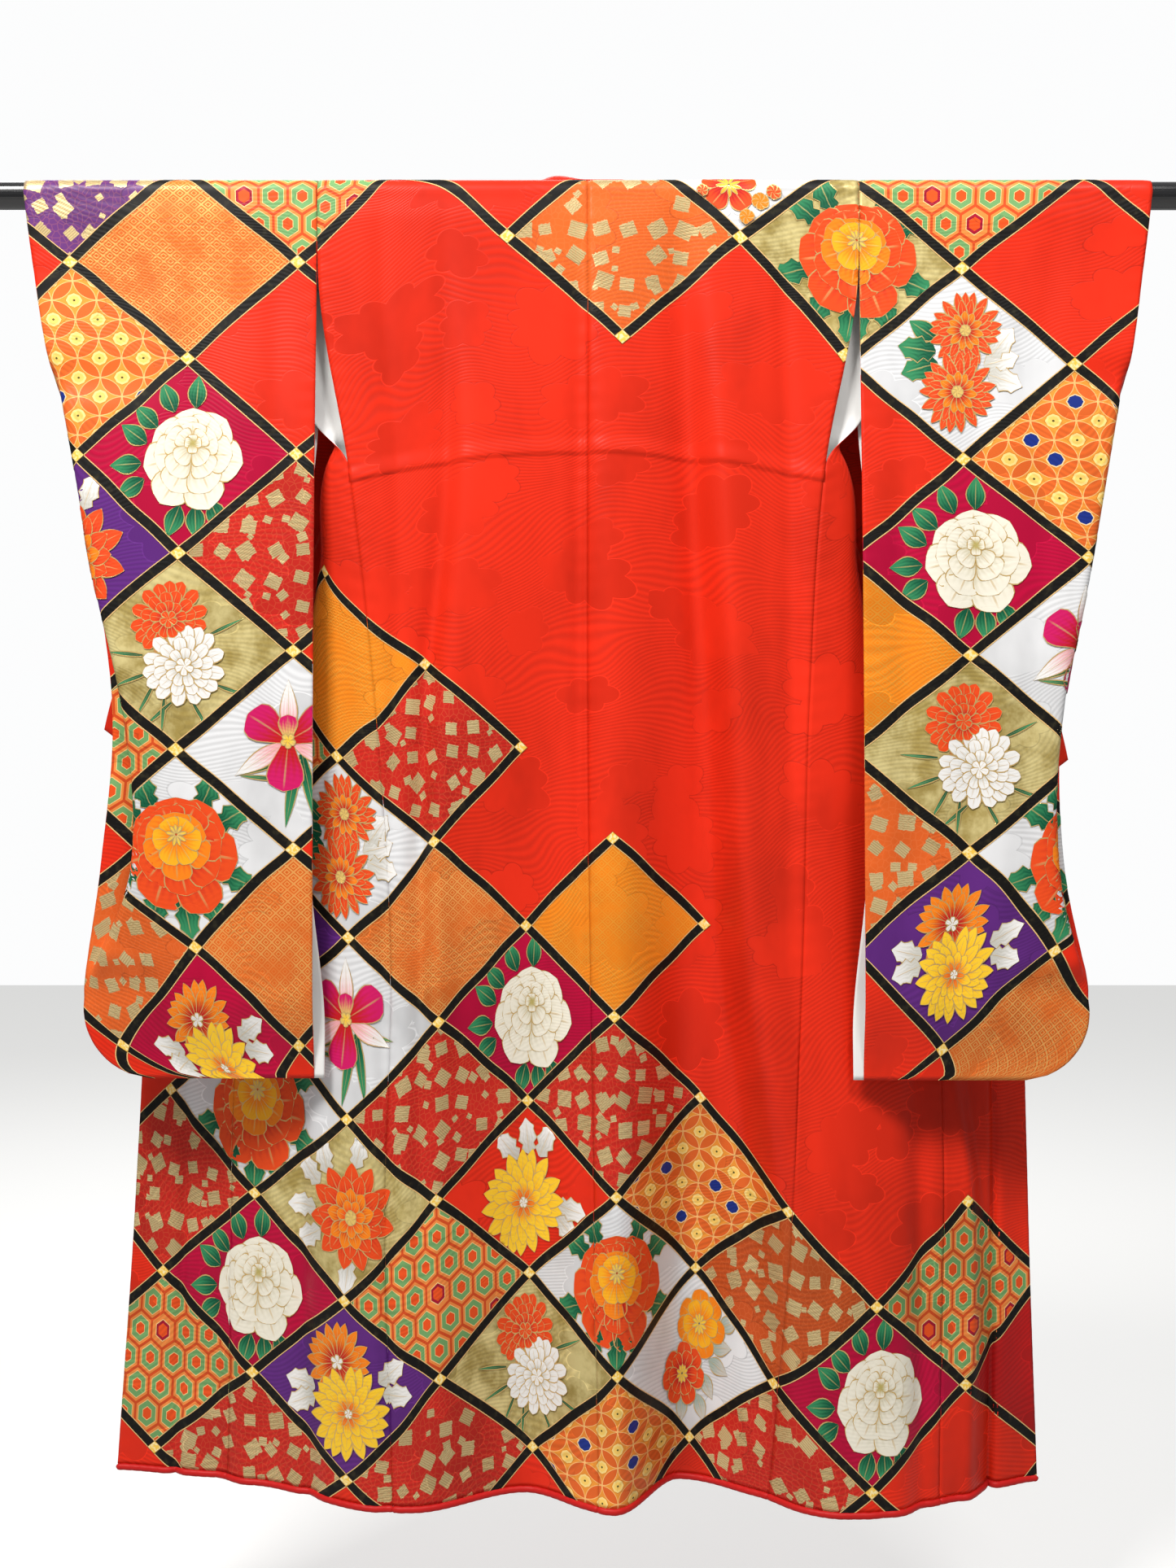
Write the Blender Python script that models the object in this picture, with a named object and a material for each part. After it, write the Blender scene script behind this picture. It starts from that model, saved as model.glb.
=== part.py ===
"""A furisode, the long-sleeved silk kimono, hung from a round display rod with its back outwards.

Metres, +Z up. The origin is on the rod's axis at mid length. The garment's back faces -Y and its
two fronts are spread out sideways behind the sleeves. Each cut piece of cloth is one wall, made
as a grid of points on the middle of the cloth, moved out half the thickness to both sides.
"""

import math

import bmesh
import bpy
import numpy as np

# Rod
ROD_RADIUS = 0.0160
ROD_HALF_LENGTH = 0.760
ROD_SIDES = 32

# Cloth: silk, interlining and lining together
WALL = 0.0020
GAP = 0.0003
DRAPE_RADIUS = ROD_RADIUS + GAP + WALL / 2
QUARTER_TURN = DRAPE_RADIUS * math.pi / 2

# The cut, in real sizes
HALF_SHOULDER = 0.320
SLEEVE_LENGTH = 1.072
BODY_LENGTH = 1.571
NECK_HALF_WIDTH = 0.085
FRONT_WIDTH = 0.235
OVERLAP_WIDTH = 0.155
OVERLAP_START = 0.270
OVERLAP_TIP = 0.020
COLLAR_END = 0.760
COLLAR_WIDTH = 0.056
COLLAR_WALL = 0.0028
COLLAR_SEAM_GAP = 0.0038
LINING_WALL = 0.0010
HEM_ROLL_RADIUS = 0.0042
HEM_ROLL_GAP = 0.0005
HEM_ROLL_MARGIN = 0.003
SEAM_MARGIN = GAP / 2 / 0.25
EDGE_STEP = 0.0008

# The tuck across the back: a fold of the cloth that laps down over it
TUCK_HEIGHT = 0.309
TUCK_SAG = 0.034
TUCK_DROP = 0.012
TUCK_DEPTH = 0.0022
TUCK_EDGE = 0.003

# The collar at the neck, where it stands up in one low bump behind the rod
NECK_CORNER = 0.045
NECK_SEAM_Y = 0.004
NECK_SEAM_RISE = 0.002
NECK_BUMP = 0.014
NECK_BUMP_PLACE = -0.036
NECK_BUMP_REACH = 0.034
NECK_DROOP = 0.022
COLLAR_OUTWARDS = 0.66
COLLAR_END_OUTWARDS = 0.14
COLLAR_BACKWARDS = (0.80, 0.10)
COLLAR_TURN = (0.15, 0.20)

# Rows and columns of the grids
FINE = 400
TURN_ROWS = 5
LOOP_ROWS = 13
LOOP_END = 0.450
HANGING_ROWS = 15
BACK_COLUMNS = 12
FRONT_COLUMNS = 14
OVERLAP_COLUMNS = 5
SLEEVE_ROWS = 17
SLEEVE_CORNER_ROWS = (0.20, 0.45, 0.68, 0.87, 1.00)
DOUBLE_OPENS = 0.890
DOUBLE_OPENS_REACH = 0.070
ROW_CROWDING = 2.0
SLEEVE_COLUMNS = 18
TURN_CROWDING = 8.0
NECK_POINTS = 13
COLLAR_WIDTH_POINTS = 5
HEM_ROLL_SIDES = 8

# Heights below the rod's axis at which the hanging sheet is described
LEVELS = (0.00, 0.11, 0.33, 0.60, 0.90, 1.20, 1.55)

# The hanging sheet from the left front edge to the right one: each line is a ridge or a valley,
# with its place across and its depth at each of LEVELS, in millimetres. Negative depth is outwards.
SHEET_FOLDS = (
    ("left front edge", (-560, -560, -556, -552, -540, -553, -578), (48, 48, 48, 48, 46, 52, 60)),
    ("left hollow", (-480, -480, -476, -470, -462, -455, -455), (38, 38, 38, 38, 36, 44, 45)),
    ("left crease", (-446, -446, -444, -440, -430, -418, -410), (30, 30, 30, 30, 26, 29, 25)),
    ("left seam ridge", (-320, -318, -282, -251, -238, -240, -240), (-19, -20, -23, -27, -33, -46, -42)),
    ("left valley", (-205, -200, -184, -200, -222, -229, -225), (-19, -19, -19, -21, -33, -46, -43)),
    ("left ridge", (-140, -135, -127, -150, -193, -214, -205), (-19, -21, -28, -34, -38, -46, -42)),
    ("centre valley", (-34, -32, -22, -34, -56, -66, -76), (-19, -19, -19, -14, -7, 8, 16)),
    ("centre ridge", (22, 23, 28, 34, 34, 33, 31), (-19, -22, -29, -33, -37, -43, -49)),
    ("right valley", (105, 107, 117, 123, 124, 121, 110), (-19, -16, -12, -3, 10, 35, 55)),
    ("right ridge", (160, 162, 166, 174, 198, 258, 300), (-19, -22, -29, -34, -42, -50, -61)),
    ("right small valley", (235, 235, 226, 236, 236, 285, 325), (-19, -19, -19, -23, -37, -49, -61)),
    ("right seam ridge", (320, 318, 279, 261, 264, 312, 350), (-19, -20, -25, -27, -35, -46, -57)),
    ("right crease", (424, 424, 422, 420, 410, 452, 445), (24, 24, 24, 24, 20, -8, -14)),
    ("right hollow", (455, 455, 453, 450, 445, 478, 485), (34, 34, 34, 34, 30, 22, 21)),
    ("right front edge", (550, 550, 548, 545, 532, 535, 546), (46, 46, 46, 46, 42, 40, 40)),
)

# Seams of the back, across, at each of LEVELS, in millimetres
CENTRE_SEAM = (0, 0, -1, -1, 2, 7, 12)
LEFT_SEAM = (-320, -318, -282, -251, -232, -237, -228)
RIGHT_SEAM = (320, 318, 279, 261, 252, 238, 214)

# A spread front, from the shoulder line down, at flat heights FRONT_HEIGHTS: where its side edge
# lies in depth, and how far its cloth loops inwards and doubles back behind itself, in millimetres
FRONT_HEIGHTS = (0.03, 0.12, 0.20, 0.28, 0.36, 0.50, 0.70, 0.95, 1.58)
SIDE_EDGE_DEPTH = (19, 16, -3, -10, -20, -24, -28, -34, -44)
LOOP = (0, 10, 80, 92, 60, 42, 14, 0, 0)
DOUBLE_BACK = (0, 0, 0, 24, 52, 42, 15, 0, 0)

# Flat heights between which a front's side edge comes to lie on the back's side seam, and between
# which a whole front comes to lie in the hanging sheet
SIDE_SEAM_START = (0.31, 0.36)
SHEET_START = (0.62, 0.92)
TONGUE_ROUNDING = 0.25
TONGUE_CROWDING = 1.4
TONGUE_REACH = 0.16

# The line where the collar is sewn on, then the front edge: flat height, place across, depth and
# height, in metres, for the left front and the right front
EDGE_HEIGHTS = (0.03, 0.15, 0.30, 0.45, 0.60, 0.76, 1.00, 1.25, 1.58)
LEFT_EDGE = (
    (-0.085, 0.0190, 0.000),
    (-0.172, 0.0440, -0.100),
    (-0.290, 0.0480, -0.203),
    (-0.395, 0.0480, -0.318),
    (-0.480, 0.0480, -0.470),
    (-0.546, 0.0480, -0.668),
    (-0.540, 0.0465, -0.930),
    (-0.553, 0.0520, -1.200),
    (-0.578, 0.0600, -1.544),
)
RIGHT_EDGE = (
    (0.085, 0.0190, 0.000),
    (0.172, 0.0440, -0.105),
    (0.290, 0.0480, -0.215),
    (0.395, 0.0460, -0.335),
    (0.478, 0.0460, -0.500),
    (0.541, 0.0460, -0.705),
    (0.531, 0.0420, -0.950),
    (0.535, 0.0400, -1.210),
    (0.546, 0.0400, -1.550),
)

# A sleeve by heights below the rod: the outermost place of its visible fold, its outer seam, and
# how far the cloth doubles back between them, in millimetres from the armhole; then the depth of
# its outer layer and of its inner layer
SLEEVE_LEVELS = (0.00, 0.10, 0.30, 0.46, 0.62, 0.80, 0.95, 1.045)
LEFT_SLEEVE = {
    "fold": (347, 333, 295, 266, 230, 220, 268, 271),
    "seam": (347, 333, 290, 258, 238, 252, 270, 271),
    "double": (0, 0, 16, 42, 52, 40, 0, 0),
    "outer": (-19, -20, -34, -43, -48, -50, -51, -50),
    "inner": (19, 17, -6, -19, -23, -25, -29, -34),
}
RIGHT_SLEEVE = {
    "fold": (347, 334, 302, 273, 240, 233, 262, 268),
    "seam": (347, 334, 296, 262, 234, 236, 262, 268),
    "double": (0, 0, 16, 42, 54, 48, 0, 0),
    "outer": (-19, -20, -35, -46, -54, -60, -64, -64),
    "inner": (19, 17, -6, -20, -28, -35, -42, -48),
}
SLEEVE_CORNER = 0.085
FOLD_SOFTNESS = 0.009
TURN_REACH = 0.014
SMALLEST_TURN = 0.012
SEAM_DEPTH = 0.82
CUFF_CLOSES = (0.19, 0.25)
BOTTOM_CLOSES = 0.10
OUTER_LEAN_START = 0.54
INNER_LEAN_START = 0.55

# Lining that shows: a strip past the outer layer's free edge low on each sleeve, and beside the
# armhole on each front
LINING_SHOWS = 0.012
LINING_SHOWS_BETWEEN = (0.75, 1.00)
FRONT_LINING_HEIGHTS = (0.060, 0.290)
FRONT_LINING_COLUMNS = 6
SLEEVE_LINING_HEIGHTS = (0.780, 1.040)
SLEEVE_LINING_SHARE = 0.16
SLEEVE_LINING_ROWS = 9
SLEEVE_LINING_COLUMNS = 4

COLOURS = {
    "scarlet silk": (0.62, 0.035, 0.018, 0.42, 0.0),
    "deep red hem silk": (0.42, 0.012, 0.014, 0.40, 0.0),
    "white lining silk": (0.80, 0.77, 0.72, 0.45, 0.0),
    "black lacquer": (0.010, 0.010, 0.011, 0.22, 0.0),
}


def clear_scene():
    for old in list(bpy.data.objects):
        bpy.data.objects.remove(old)


def finish_material(name):
    """A Principled material with the colour, roughness and metallic value listed for this finish."""
    found = bpy.data.materials.get(name)
    if found:
        return found
    red, green, blue, roughness, metallic = COLOURS[name]
    made = bpy.data.materials.new(name)
    made.use_nodes = True
    shader = made.node_tree.nodes["Principled BSDF"]
    shader.inputs["Base Color"].default_value = (red, green, blue, 1.0)
    shader.inputs["Roughness"].default_value = roughness
    shader.inputs["Metallic"].default_value = metallic
    return made


def ease(t):
    """Zero below 0, one above 1, and a smooth step between."""
    t = np.clip(t, 0.0, 1.0)
    return t * t * (3.0 - 2.0 * t)


def ramp_between(limits, value):
    """A smooth step from 0 at the first limit to 1 at the second."""
    return ease((value - limits[0]) / (limits[1] - limits[0]))


def mix(a, b, t):
    return a + (b - a) * t


def track(stations, values, at):
    """A smooth curve through values at the given stations, read at one place or at an array."""
    stations = np.asarray(stations, float)
    values = np.asarray(values, float)
    at = np.clip(np.asarray(at, float), stations[0], stations[-1])
    slopes = np.gradient(values, stations)
    k = np.clip(np.searchsorted(stations, at, side="right") - 1, 0, len(stations) - 2)
    width = stations[k + 1] - stations[k]
    t = (at - stations[k]) / width
    return (
        (2 * t**3 - 3 * t**2 + 1) * values[k]
        + (t**3 - 2 * t**2 + t) * width * slopes[k]
        + (3 * t**2 - 2 * t**3) * values[k + 1]
        + (t**3 - t**2) * width * slopes[k + 1]
    )


def millimetres(stations, values, at):
    return track(stations, values, at) / 1000.0


def sheet_depth(x, below):
    """Depth of the hanging sheet: a chain of smooth steps from each ridge to the next valley."""
    places = [millimetres(LEVELS, fold[1], below) for fold in SHEET_FOLDS]
    depths = [millimetres(LEVELS, fold[2], below) for fold in SHEET_FOLDS]
    depth = depths[0] + 0.0 * x
    for k in range(len(SHEET_FOLDS) - 1):
        step = (x - places[k]) / np.maximum(places[k + 1] - places[k], 1e-4)
        depth = depth + (depths[k + 1] - depths[k]) * ease(step)
    return depth


def over_rod(flat_height):
    """Angle round the rod from its top, and the height below the rod's axis once past it."""
    angle = np.minimum(flat_height / DRAPE_RADIUS, math.pi / 2)
    below = np.maximum(flat_height - QUARTER_TURN, 0.0)
    return angle, below


def body_heights():
    """Flat heights of the body's rows: round the rod, then closer together where the cloth loops."""
    turn = np.linspace(GAP / 2, QUARTER_TURN, TURN_ROWS + 1)[:-1]
    loop = np.linspace(QUARTER_TURN, LOOP_END, LOOP_ROWS + 1)[:-1]
    return np.concatenate([turn, loop, np.linspace(LOOP_END, BODY_LENGTH, HANGING_ROWS)])


def hang(x, y, z, angle, sign):
    """The point as given once past the rod, and on the drape circle while going round it."""
    past = angle >= math.pi / 2
    y = np.where(past, y, sign * DRAPE_RADIUS * np.sin(angle))
    z = np.where(past, z, DRAPE_RADIUS * np.cos(angle))
    return np.stack([x + 0.0 * y, y, z], -1)


def back_surface(side, across, flat_height):
    """A point of the back. across runs from 0 at the centre seam to 1 at the side seam."""
    angle, below = over_rod(flat_height)
    centre = millimetres(LEVELS, CENTRE_SEAM, below)
    seam = millimetres(LEVELS, LEFT_SEAM if side < 0 else RIGHT_SEAM, below)
    x = mix(centre, seam, across)
    tuck_line = TUCK_HEIGHT + TUCK_SAG * np.clip(across, 0.0, 1.0) ** 2
    swelling = ease((below - tuck_line + TUCK_DROP) / TUCK_DROP)
    overlap = swelling * (1.0 - ease((below - tuck_line) / TUCK_EDGE))
    y = sheet_depth(x, below) - TUCK_DEPTH * overlap
    return hang(x, y, -below, angle, -1.0)


def front_width(flat_height):
    """Width of the flat front with its overlap, from the side seam to the collar or front edge."""
    opened = np.clip((flat_height - OVERLAP_START) / (COLLAR_END - OVERLAP_START), 0.0, 1.0)
    return FRONT_WIDTH + OVERLAP_WIDTH * opened


def edge_line(table, flat_height):
    """A point of the collar's seam or of the front edge, at a flat height."""
    return np.stack([track(EDGE_HEIGHTS, [row[k] for row in table], flat_height) for k in range(3)], -1)


def front_surface(side, across, flat_height):
    """A point of a spread front. across is 0 at the side seam and 1 at the collar or front edge.

    Near the shoulder the cloth runs inwards behind the back, turns and comes out again behind the
    sleeve; lower down it doubles back once; from mid height it is the same sheet as the back.
    """
    angle, below = over_rod(flat_height)
    seam = millimetres(LEVELS, LEFT_SEAM if side < 0 else RIGHT_SEAM, below)
    edge = edge_line(LEFT_EDGE if side < 0 else RIGHT_EDGE, flat_height)
    side_y = millimetres(FRONT_HEIGHTS, SIDE_EDGE_DEPTH, flat_height)
    side_y = mix(side_y, sheet_depth(seam, below), ramp_between(SIDE_SEAM_START, flat_height))
    loop = millimetres(FRONT_HEIGHTS, LOOP, flat_height)
    double = millimetres(FRONT_HEIGHTS, DOUBLE_BACK, flat_height)
    tongue = np.where(across < 0.5, np.sin(math.pi * across), 16 * across**2 * (1 - across) ** 2)
    inwards = loop * tongue - double * np.sin(2 * math.pi * across)
    x = mix(seam, edge[..., 0], across) - side * inwards
    z = mix(-below, edge[..., 2], across)
    y = mix(side_y, edge[..., 1], mix(across, ease(across), TONGUE_ROUNDING))
    y = mix(y, sheet_depth(x, -z), ramp_between(SHEET_START, flat_height))
    return hang(x, y, z, angle, 1.0)


def corner_inset(below):
    """How far the round lower corner of the sleeve draws its outer seam in, a quarter circle."""
    bottom = SLEEVE_LEVELS[-1]
    into = np.clip((below - (bottom - SLEEVE_CORNER)) / SLEEVE_CORNER, 0.0, 0.998)
    return SLEEVE_CORNER * (1.0 - np.sqrt(1.0 - into**2))


def ramp(t):
    """Zero below 0 and t above it, with a soft bend between."""
    return 0.5 * (t + np.sqrt(t * t + FOLD_SOFTNESS**2))


def turned_back(run, fold, double):
    """Place across a layer that runs out to its fold, back by the double, and out again."""
    return run - 2 * ramp(run - fold) + 2 * ramp(run - fold - double)


def turn_depth(run, fold, double, even):
    """Share of the way back that such a layer has gone: a step at each turn, or even if unfolded."""
    steps = 0.5 * ease((run - fold) / (2 * TURN_REACH) + 0.5)
    steps = steps + 0.5 * ease((run - fold - double) / (2 * TURN_REACH) + 0.5)
    return mix(even, steps, ease(double / SMALLEST_TURN))


def sleeve_lines(side, below):
    """Fold, seam, double, outer and inner of a sleeve's table at a height below the rod."""
    table = LEFT_SLEEVE if side < 0 else RIGHT_SLEEVE
    names = ("fold", "seam", "double", "outer", "inner")
    fold, seam, double, outer, inner = (millimetres(SLEEVE_LEVELS, table[name], below) for name in names)
    return fold, seam, np.maximum(double, 0.0), outer, inner


def sleeve_surface(side, across, along):
    """A point of a sleeve. across is 0 at the body side and 1 at the outer seam.

    along is the flat height, negative on the outer layer, which hangs before the rod, and positive
    on the inner one. The two come together at the outer seam below the cuff and along the bottom.
    """
    across = across + 0.0 * along
    outer_layer = along < 0
    layer = np.where(outer_layer, -1.0, 1.0)
    angle, below = over_rod(np.abs(along))
    fold, seam, double, outer, inner = sleeve_lines(side, below)
    seam = seam - corner_inset(below)
    fold = fold - corner_inset(below)
    bottom = SLEEVE_LEVELS[-1]
    closing = ramp_between(CUFF_CLOSES, below)
    bottom_close = ramp_between((bottom - BOTTOM_CLOSES, bottom), below)
    half = (WALL + GAP) / 2
    meet = mix(outer, inner, SEAM_DEPTH)
    run = across * (seam + 2 * double)
    x_outer = turned_back(run, fold, double)
    lean = np.clip((across - OUTER_LEAN_START) / (1.0 - OUTER_LEAN_START), 0.0, 1.0)
    depth = turn_depth(run, fold, double, lean)
    x_inner = seam * across - LINING_SHOWS * (1 - across) * ramp_between(LINING_SHOWS_BETWEEN, below)
    y_outer = mix(outer, mix(outer, meet - half, closing), depth)
    y_inner = mix(inner, mix(inner, meet + half, closing), ramp_between((INNER_LEAN_START, 1.0), across))
    x = np.where(outer_layer, x_outer, x_inner)
    y = np.where(outer_layer, y_outer, y_inner)
    y = mix(y, meet + layer * half, bottom_close)
    return hang(side * (HALF_SHOULDER + GAP + x), y, -below, angle, layer)


def collar_surface(across, along):
    """A point of the collar. along is the distance from the centre of the neck, negative to the
    left, and across runs from 0 at the seam to 1 at the folded outer edge.

    At the neck it stands up behind the rod in one low bump and lies backwards. Further on it runs
    down beside the front and points up and outwards from its seam.
    """
    side = np.where(along < 0, -1.0, 1.0)
    past_neck = np.maximum(np.abs(along) - NECK_HALF_WIDTH, 0.0)
    height = EDGE_HEIGHTS[0] + past_neck * (COLLAR_END - EDGE_HEIGHTS[0]) / COLLAR_END
    left, right = edge_line(LEFT_EDGE, height), edge_line(RIGHT_EDGE, height)
    seam = np.where((along < 0)[..., None], left, right)
    corner = ease((np.abs(along) - NECK_HALF_WIDTH + NECK_CORNER) / NECK_CORNER)
    neck_x = along * (1.0 - past_neck / np.maximum(np.abs(along), 1e-6))
    level = 0.0 * along
    start = np.stack([neck_x, NECK_SEAM_Y + level, DRAPE_RADIUS + NECK_SEAM_RISE + level], -1)
    seam = mix(start, seam, corner[..., None])
    width = COLLAR_SEAM_GAP + COLLAR_WIDTH * across
    outwards = COLLAR_OUTWARDS * ease(past_neck / COLLAR_TURN[0])
    outwards = outwards + COLLAR_END_OUTWARDS * past_neck / COLLAR_END
    backwards = mix(COLLAR_BACKWARDS[0], COLLAR_BACKWARDS[1], ease(past_neck / COLLAR_TURN[1]))
    upwards = np.sqrt(np.maximum(1.0 - outwards**2 - backwards**2, 0.0))
    bump = NECK_BUMP * np.exp(-(((along - NECK_BUMP_PLACE) / NECK_BUMP_REACH) ** 2))
    droop = (1.0 - corner) * (upwards * width + NECK_DROOP * across**2 - bump * np.sin(math.pi * across))
    x = seam[..., 0] + side * outwards * width
    y = seam[..., 1] + backwards * width
    z = seam[..., 2] + upwards * width - droop
    return np.stack([x, y, z], -1)


def add_object(name, points, faces, finish):
    mesh = bpy.data.meshes.new(name)
    mesh.from_pydata([tuple(p) for p in points], [], faces)
    made = bpy.data.objects.new(name, mesh)
    bpy.context.scene.collection.objects.link(made)
    mesh.materials.append(finish_material(finish))
    mesh.shade_smooth()
    mesh.set_sharp_from_angle(angle=math.radians(50))
    return made


def unit(vectors):
    return vectors / np.maximum(np.linalg.norm(vectors, axis=-1, keepdims=True), 1e-12)


def directions(points, before, after, axis):
    """Unit direction along one axis of a grid of points: halfway between the stretch that comes in
    and the one that goes out. At the grid's two edges it is that of the surface just round the edge.
    """
    points = np.moveaxis(points, axis, 0)
    stretches = unit(np.diff(points, axis=0))
    edges = unit(np.moveaxis(after - before, axis, 0))
    middle = unit(stretches[1:] + stretches[:-1])
    return np.moveaxis(np.concatenate([edges[:1], middle, edges[-1:]]), 0, axis)


def normals_of(surface, u, v, points):
    """Unit normals of a surface at a grid of its points."""
    across = directions(points, surface(u - EDGE_STEP, v), surface(u + EDGE_STEP, v), 1)
    down = directions(points, surface(u, v - EDGE_STEP), surface(u, v + EDGE_STEP), 0)
    return unit(np.cross(across, down))


def cloth(name, surface, u, v, finish="scarlet silk", wall=WALL, lift=0.0):
    """A wall of cloth over the grid u, v of a surface. lift moves it along the normal."""
    middle = surface(u, v)
    normal = normals_of(surface, u, v, middle)
    upper = middle + normal * (lift + wall / 2)
    lower = middle + normal * (lift - wall / 2)
    rows, columns = u.shape
    count = rows * columns
    faces = []
    for r in range(rows - 1):
        for c in range(columns - 1):
            a, b = r * columns + c, r * columns + c + 1
            d, e = a + columns, b + columns
            one_way = np.linalg.norm(middle[r, c] - middle[r + 1, c + 1])
            other_way = np.linalg.norm(middle[r, c + 1] - middle[r + 1, c])
            halves = ((a, b, e), (a, e, d)) if one_way < other_way else ((a, b, d), (b, e, d))
            for half in halves:
                faces.append(half)
                faces.append(tuple(count + k for k in half[::-1]))
    rim = list(range(columns))
    rim += [r * columns + columns - 1 for r in range(1, rows)]
    rim += [(rows - 1) * columns + c for c in range(columns - 2, -1, -1)]
    rim += [r * columns for r in range(rows - 2, 0, -1)]
    for here, after in zip(rim, rim[1:] + rim[:1]):
        faces.append((after, here, count + here, count + after))
    made = add_object(name, np.concatenate([upper.reshape(-1, 3), lower.reshape(-1, 3)]), faces, finish)
    face_outwards(made)
    return made


def face_outwards(made):
    """Turns every face outwards, told by the sign of the closed mesh's volume."""
    shape = bmesh.new()
    shape.from_mesh(made.data)
    if shape.calc_volume(signed=True) < 0:
        bmesh.ops.reverse_faces(shape, faces=shape.faces)
    shape.to_mesh(made.data)
    shape.free()


def tube(name, path, radius, sides, finish):
    """A closed tube along a path of points, round in the plane across each stretch."""
    path = np.asarray(path, float)
    tangent = np.gradient(path, axis=0)
    tangent /= np.linalg.norm(tangent, axis=1)[:, None]
    up = np.array([0.0, 0.0, 1.0])
    first = np.cross(tangent, up)
    first /= np.linalg.norm(first, axis=1)[:, None]
    second = np.cross(first, tangent)
    turn = np.arange(sides) * 2 * math.pi / sides
    rings = (
        path[:, None]
        + radius * np.cos(turn)[None, :, None] * first[:, None]
        + radius * np.sin(turn)[None, :, None] * second[:, None]
    )
    faces = []
    for r in range(len(path) - 1):
        for c in range(sides):
            after = (c + 1) % sides
            a = r * sides
            faces.append((a + c, a + sides + c, a + sides + after, a + after))
    faces.append(tuple(range(sides)))
    faces.append(tuple(range((len(path) - 1) * sides, len(path) * sides))[::-1])
    made = add_object(name, rings.reshape(-1, 3), faces, finish)
    face_outwards(made)
    return made


def rod():
    bpy.ops.mesh.primitive_cylinder_add(
        vertices=ROD_SIDES, radius=ROD_RADIUS, depth=2 * ROD_HALF_LENGTH, rotation=(0, math.pi / 2, 0)
    )
    made = bpy.context.object
    made.name = "display_rod"
    made.data.materials.append(finish_material("black lacquer"))
    made.data.shade_smooth()
    made.data.set_sharp_from_angle(angle=math.radians(40))


def grid_of(rows, columns_of):
    """Two arrays, across and flat height, with the columns of each row given by a function."""
    across = np.stack([columns_of(h) for h in rows])
    return across, np.repeat(rows[:, None], across.shape[1], axis=1)


def crowded(places, density, count):
    """That many places out of a fine run of them, closer together where the density is high."""
    share = np.concatenate([[0.0], np.cumsum(0.5 * (density[1:] + density[:-1]))])
    return np.interp(np.linspace(0.0, share[-1], count), share, places)


def spread_columns(start, end, count):
    """Columns from start to end, closer together round the middle of the cloth's width, 0.5."""
    place = np.linspace(start, end, FINE)
    return crowded(place, 1.0 + TONGUE_CROWDING * np.exp(-(((place - 0.5) / TONGUE_REACH) ** 2)), count)


def back(side, word):
    rows = body_heights()
    across, height = grid_of(rows, lambda h: np.linspace(SEAM_MARGIN, 1.0 - SEAM_MARGIN, BACK_COLUMNS))
    cloth(f"back_{word}", lambda u, v: back_surface(side, u, v), across, height)


def front_grid():
    """The rows of a front and a function for the columns of each."""
    return body_heights(), lambda h: spread_columns(
        SEAM_MARGIN, FRONT_WIDTH / front_width(h) - SEAM_MARGIN, FRONT_COLUMNS
    )


def front(side, word):
    across, height = grid_of(*front_grid())
    cloth(f"front_{word}", lambda u, v: front_surface(side, u, v), across, height)


def overlap(side, word):
    rows = body_heights()
    rows = rows[rows > OVERLAP_START + OVERLAP_TIP]
    across, height = grid_of(
        rows, lambda h: np.linspace(FRONT_WIDTH / front_width(h) + SEAM_MARGIN, 1.0, OVERLAP_COLUMNS)
    )
    cloth(f"overlap_{word}", lambda u, v: front_surface(side, u, v), across, height)


def sleeve_columns(side, along):
    """Places across a row of a sleeve, closer together at the two turns of its doubled cloth."""
    fold, seam, double, outer, inner = sleeve_lines(side, over_rod(abs(along))[1])
    places = np.linspace(0.0, 1.0, FINE)
    run = places * (seam + 2 * double)
    turns = sum(np.exp(-(((run - turn) / TURN_REACH) ** 2)) for turn in (fold, fold + double))
    crowding = TURN_CROWDING * ease(double / SMALLEST_TURN)
    return crowded(places, 1.0 + crowding * turns, SLEEVE_COLUMNS)


def sleeve(side, word):
    """One length of cloth, up the outer layer, over the rod and down the inner layer."""
    turn = np.linspace(0.0, QUARTER_TURN, TURN_ROWS + 1)
    corner_start = SLEEVE_LENGTH - SLEEVE_CORNER
    drop = np.linspace(QUARTER_TURN, corner_start, FINE)
    opening_out = np.exp(-(((drop - DOUBLE_OPENS) / DOUBLE_OPENS_REACH) ** 2))
    drop = crowded(drop, 1.0 + ROW_CROWDING * opening_out, SLEEVE_ROWS)[1:]
    corner = corner_start + SLEEVE_CORNER * np.array(SLEEVE_CORNER_ROWS)
    down = np.concatenate([turn, drop, corner])
    along = np.concatenate([-down[:0:-1], down])
    across, along = grid_of(along, lambda h: sleeve_columns(side, h))
    cloth(f"sleeve_{word}", lambda u, v: sleeve_surface(side, u, v), across, along)


def collar():
    rows = body_heights()
    rows = rows[(rows > EDGE_HEIGHTS[0]) & (rows < COLLAR_END)]
    run = (rows - EDGE_HEIGHTS[0]) * COLLAR_END / (COLLAR_END - EDGE_HEIGHTS[0])
    run = NECK_HALF_WIDTH + np.append(run, COLLAR_END)
    neck = np.linspace(-NECK_HALF_WIDTH, NECK_HALF_WIDTH, NECK_POINTS)
    along = np.concatenate([-run[::-1], neck, run])
    across = np.linspace(0.0, 1.0, COLLAR_WIDTH_POINTS)
    v, u = np.meshgrid(along, across, indexing="ij")
    cloth("collar", collar_surface, u, v, wall=COLLAR_WALL)


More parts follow.
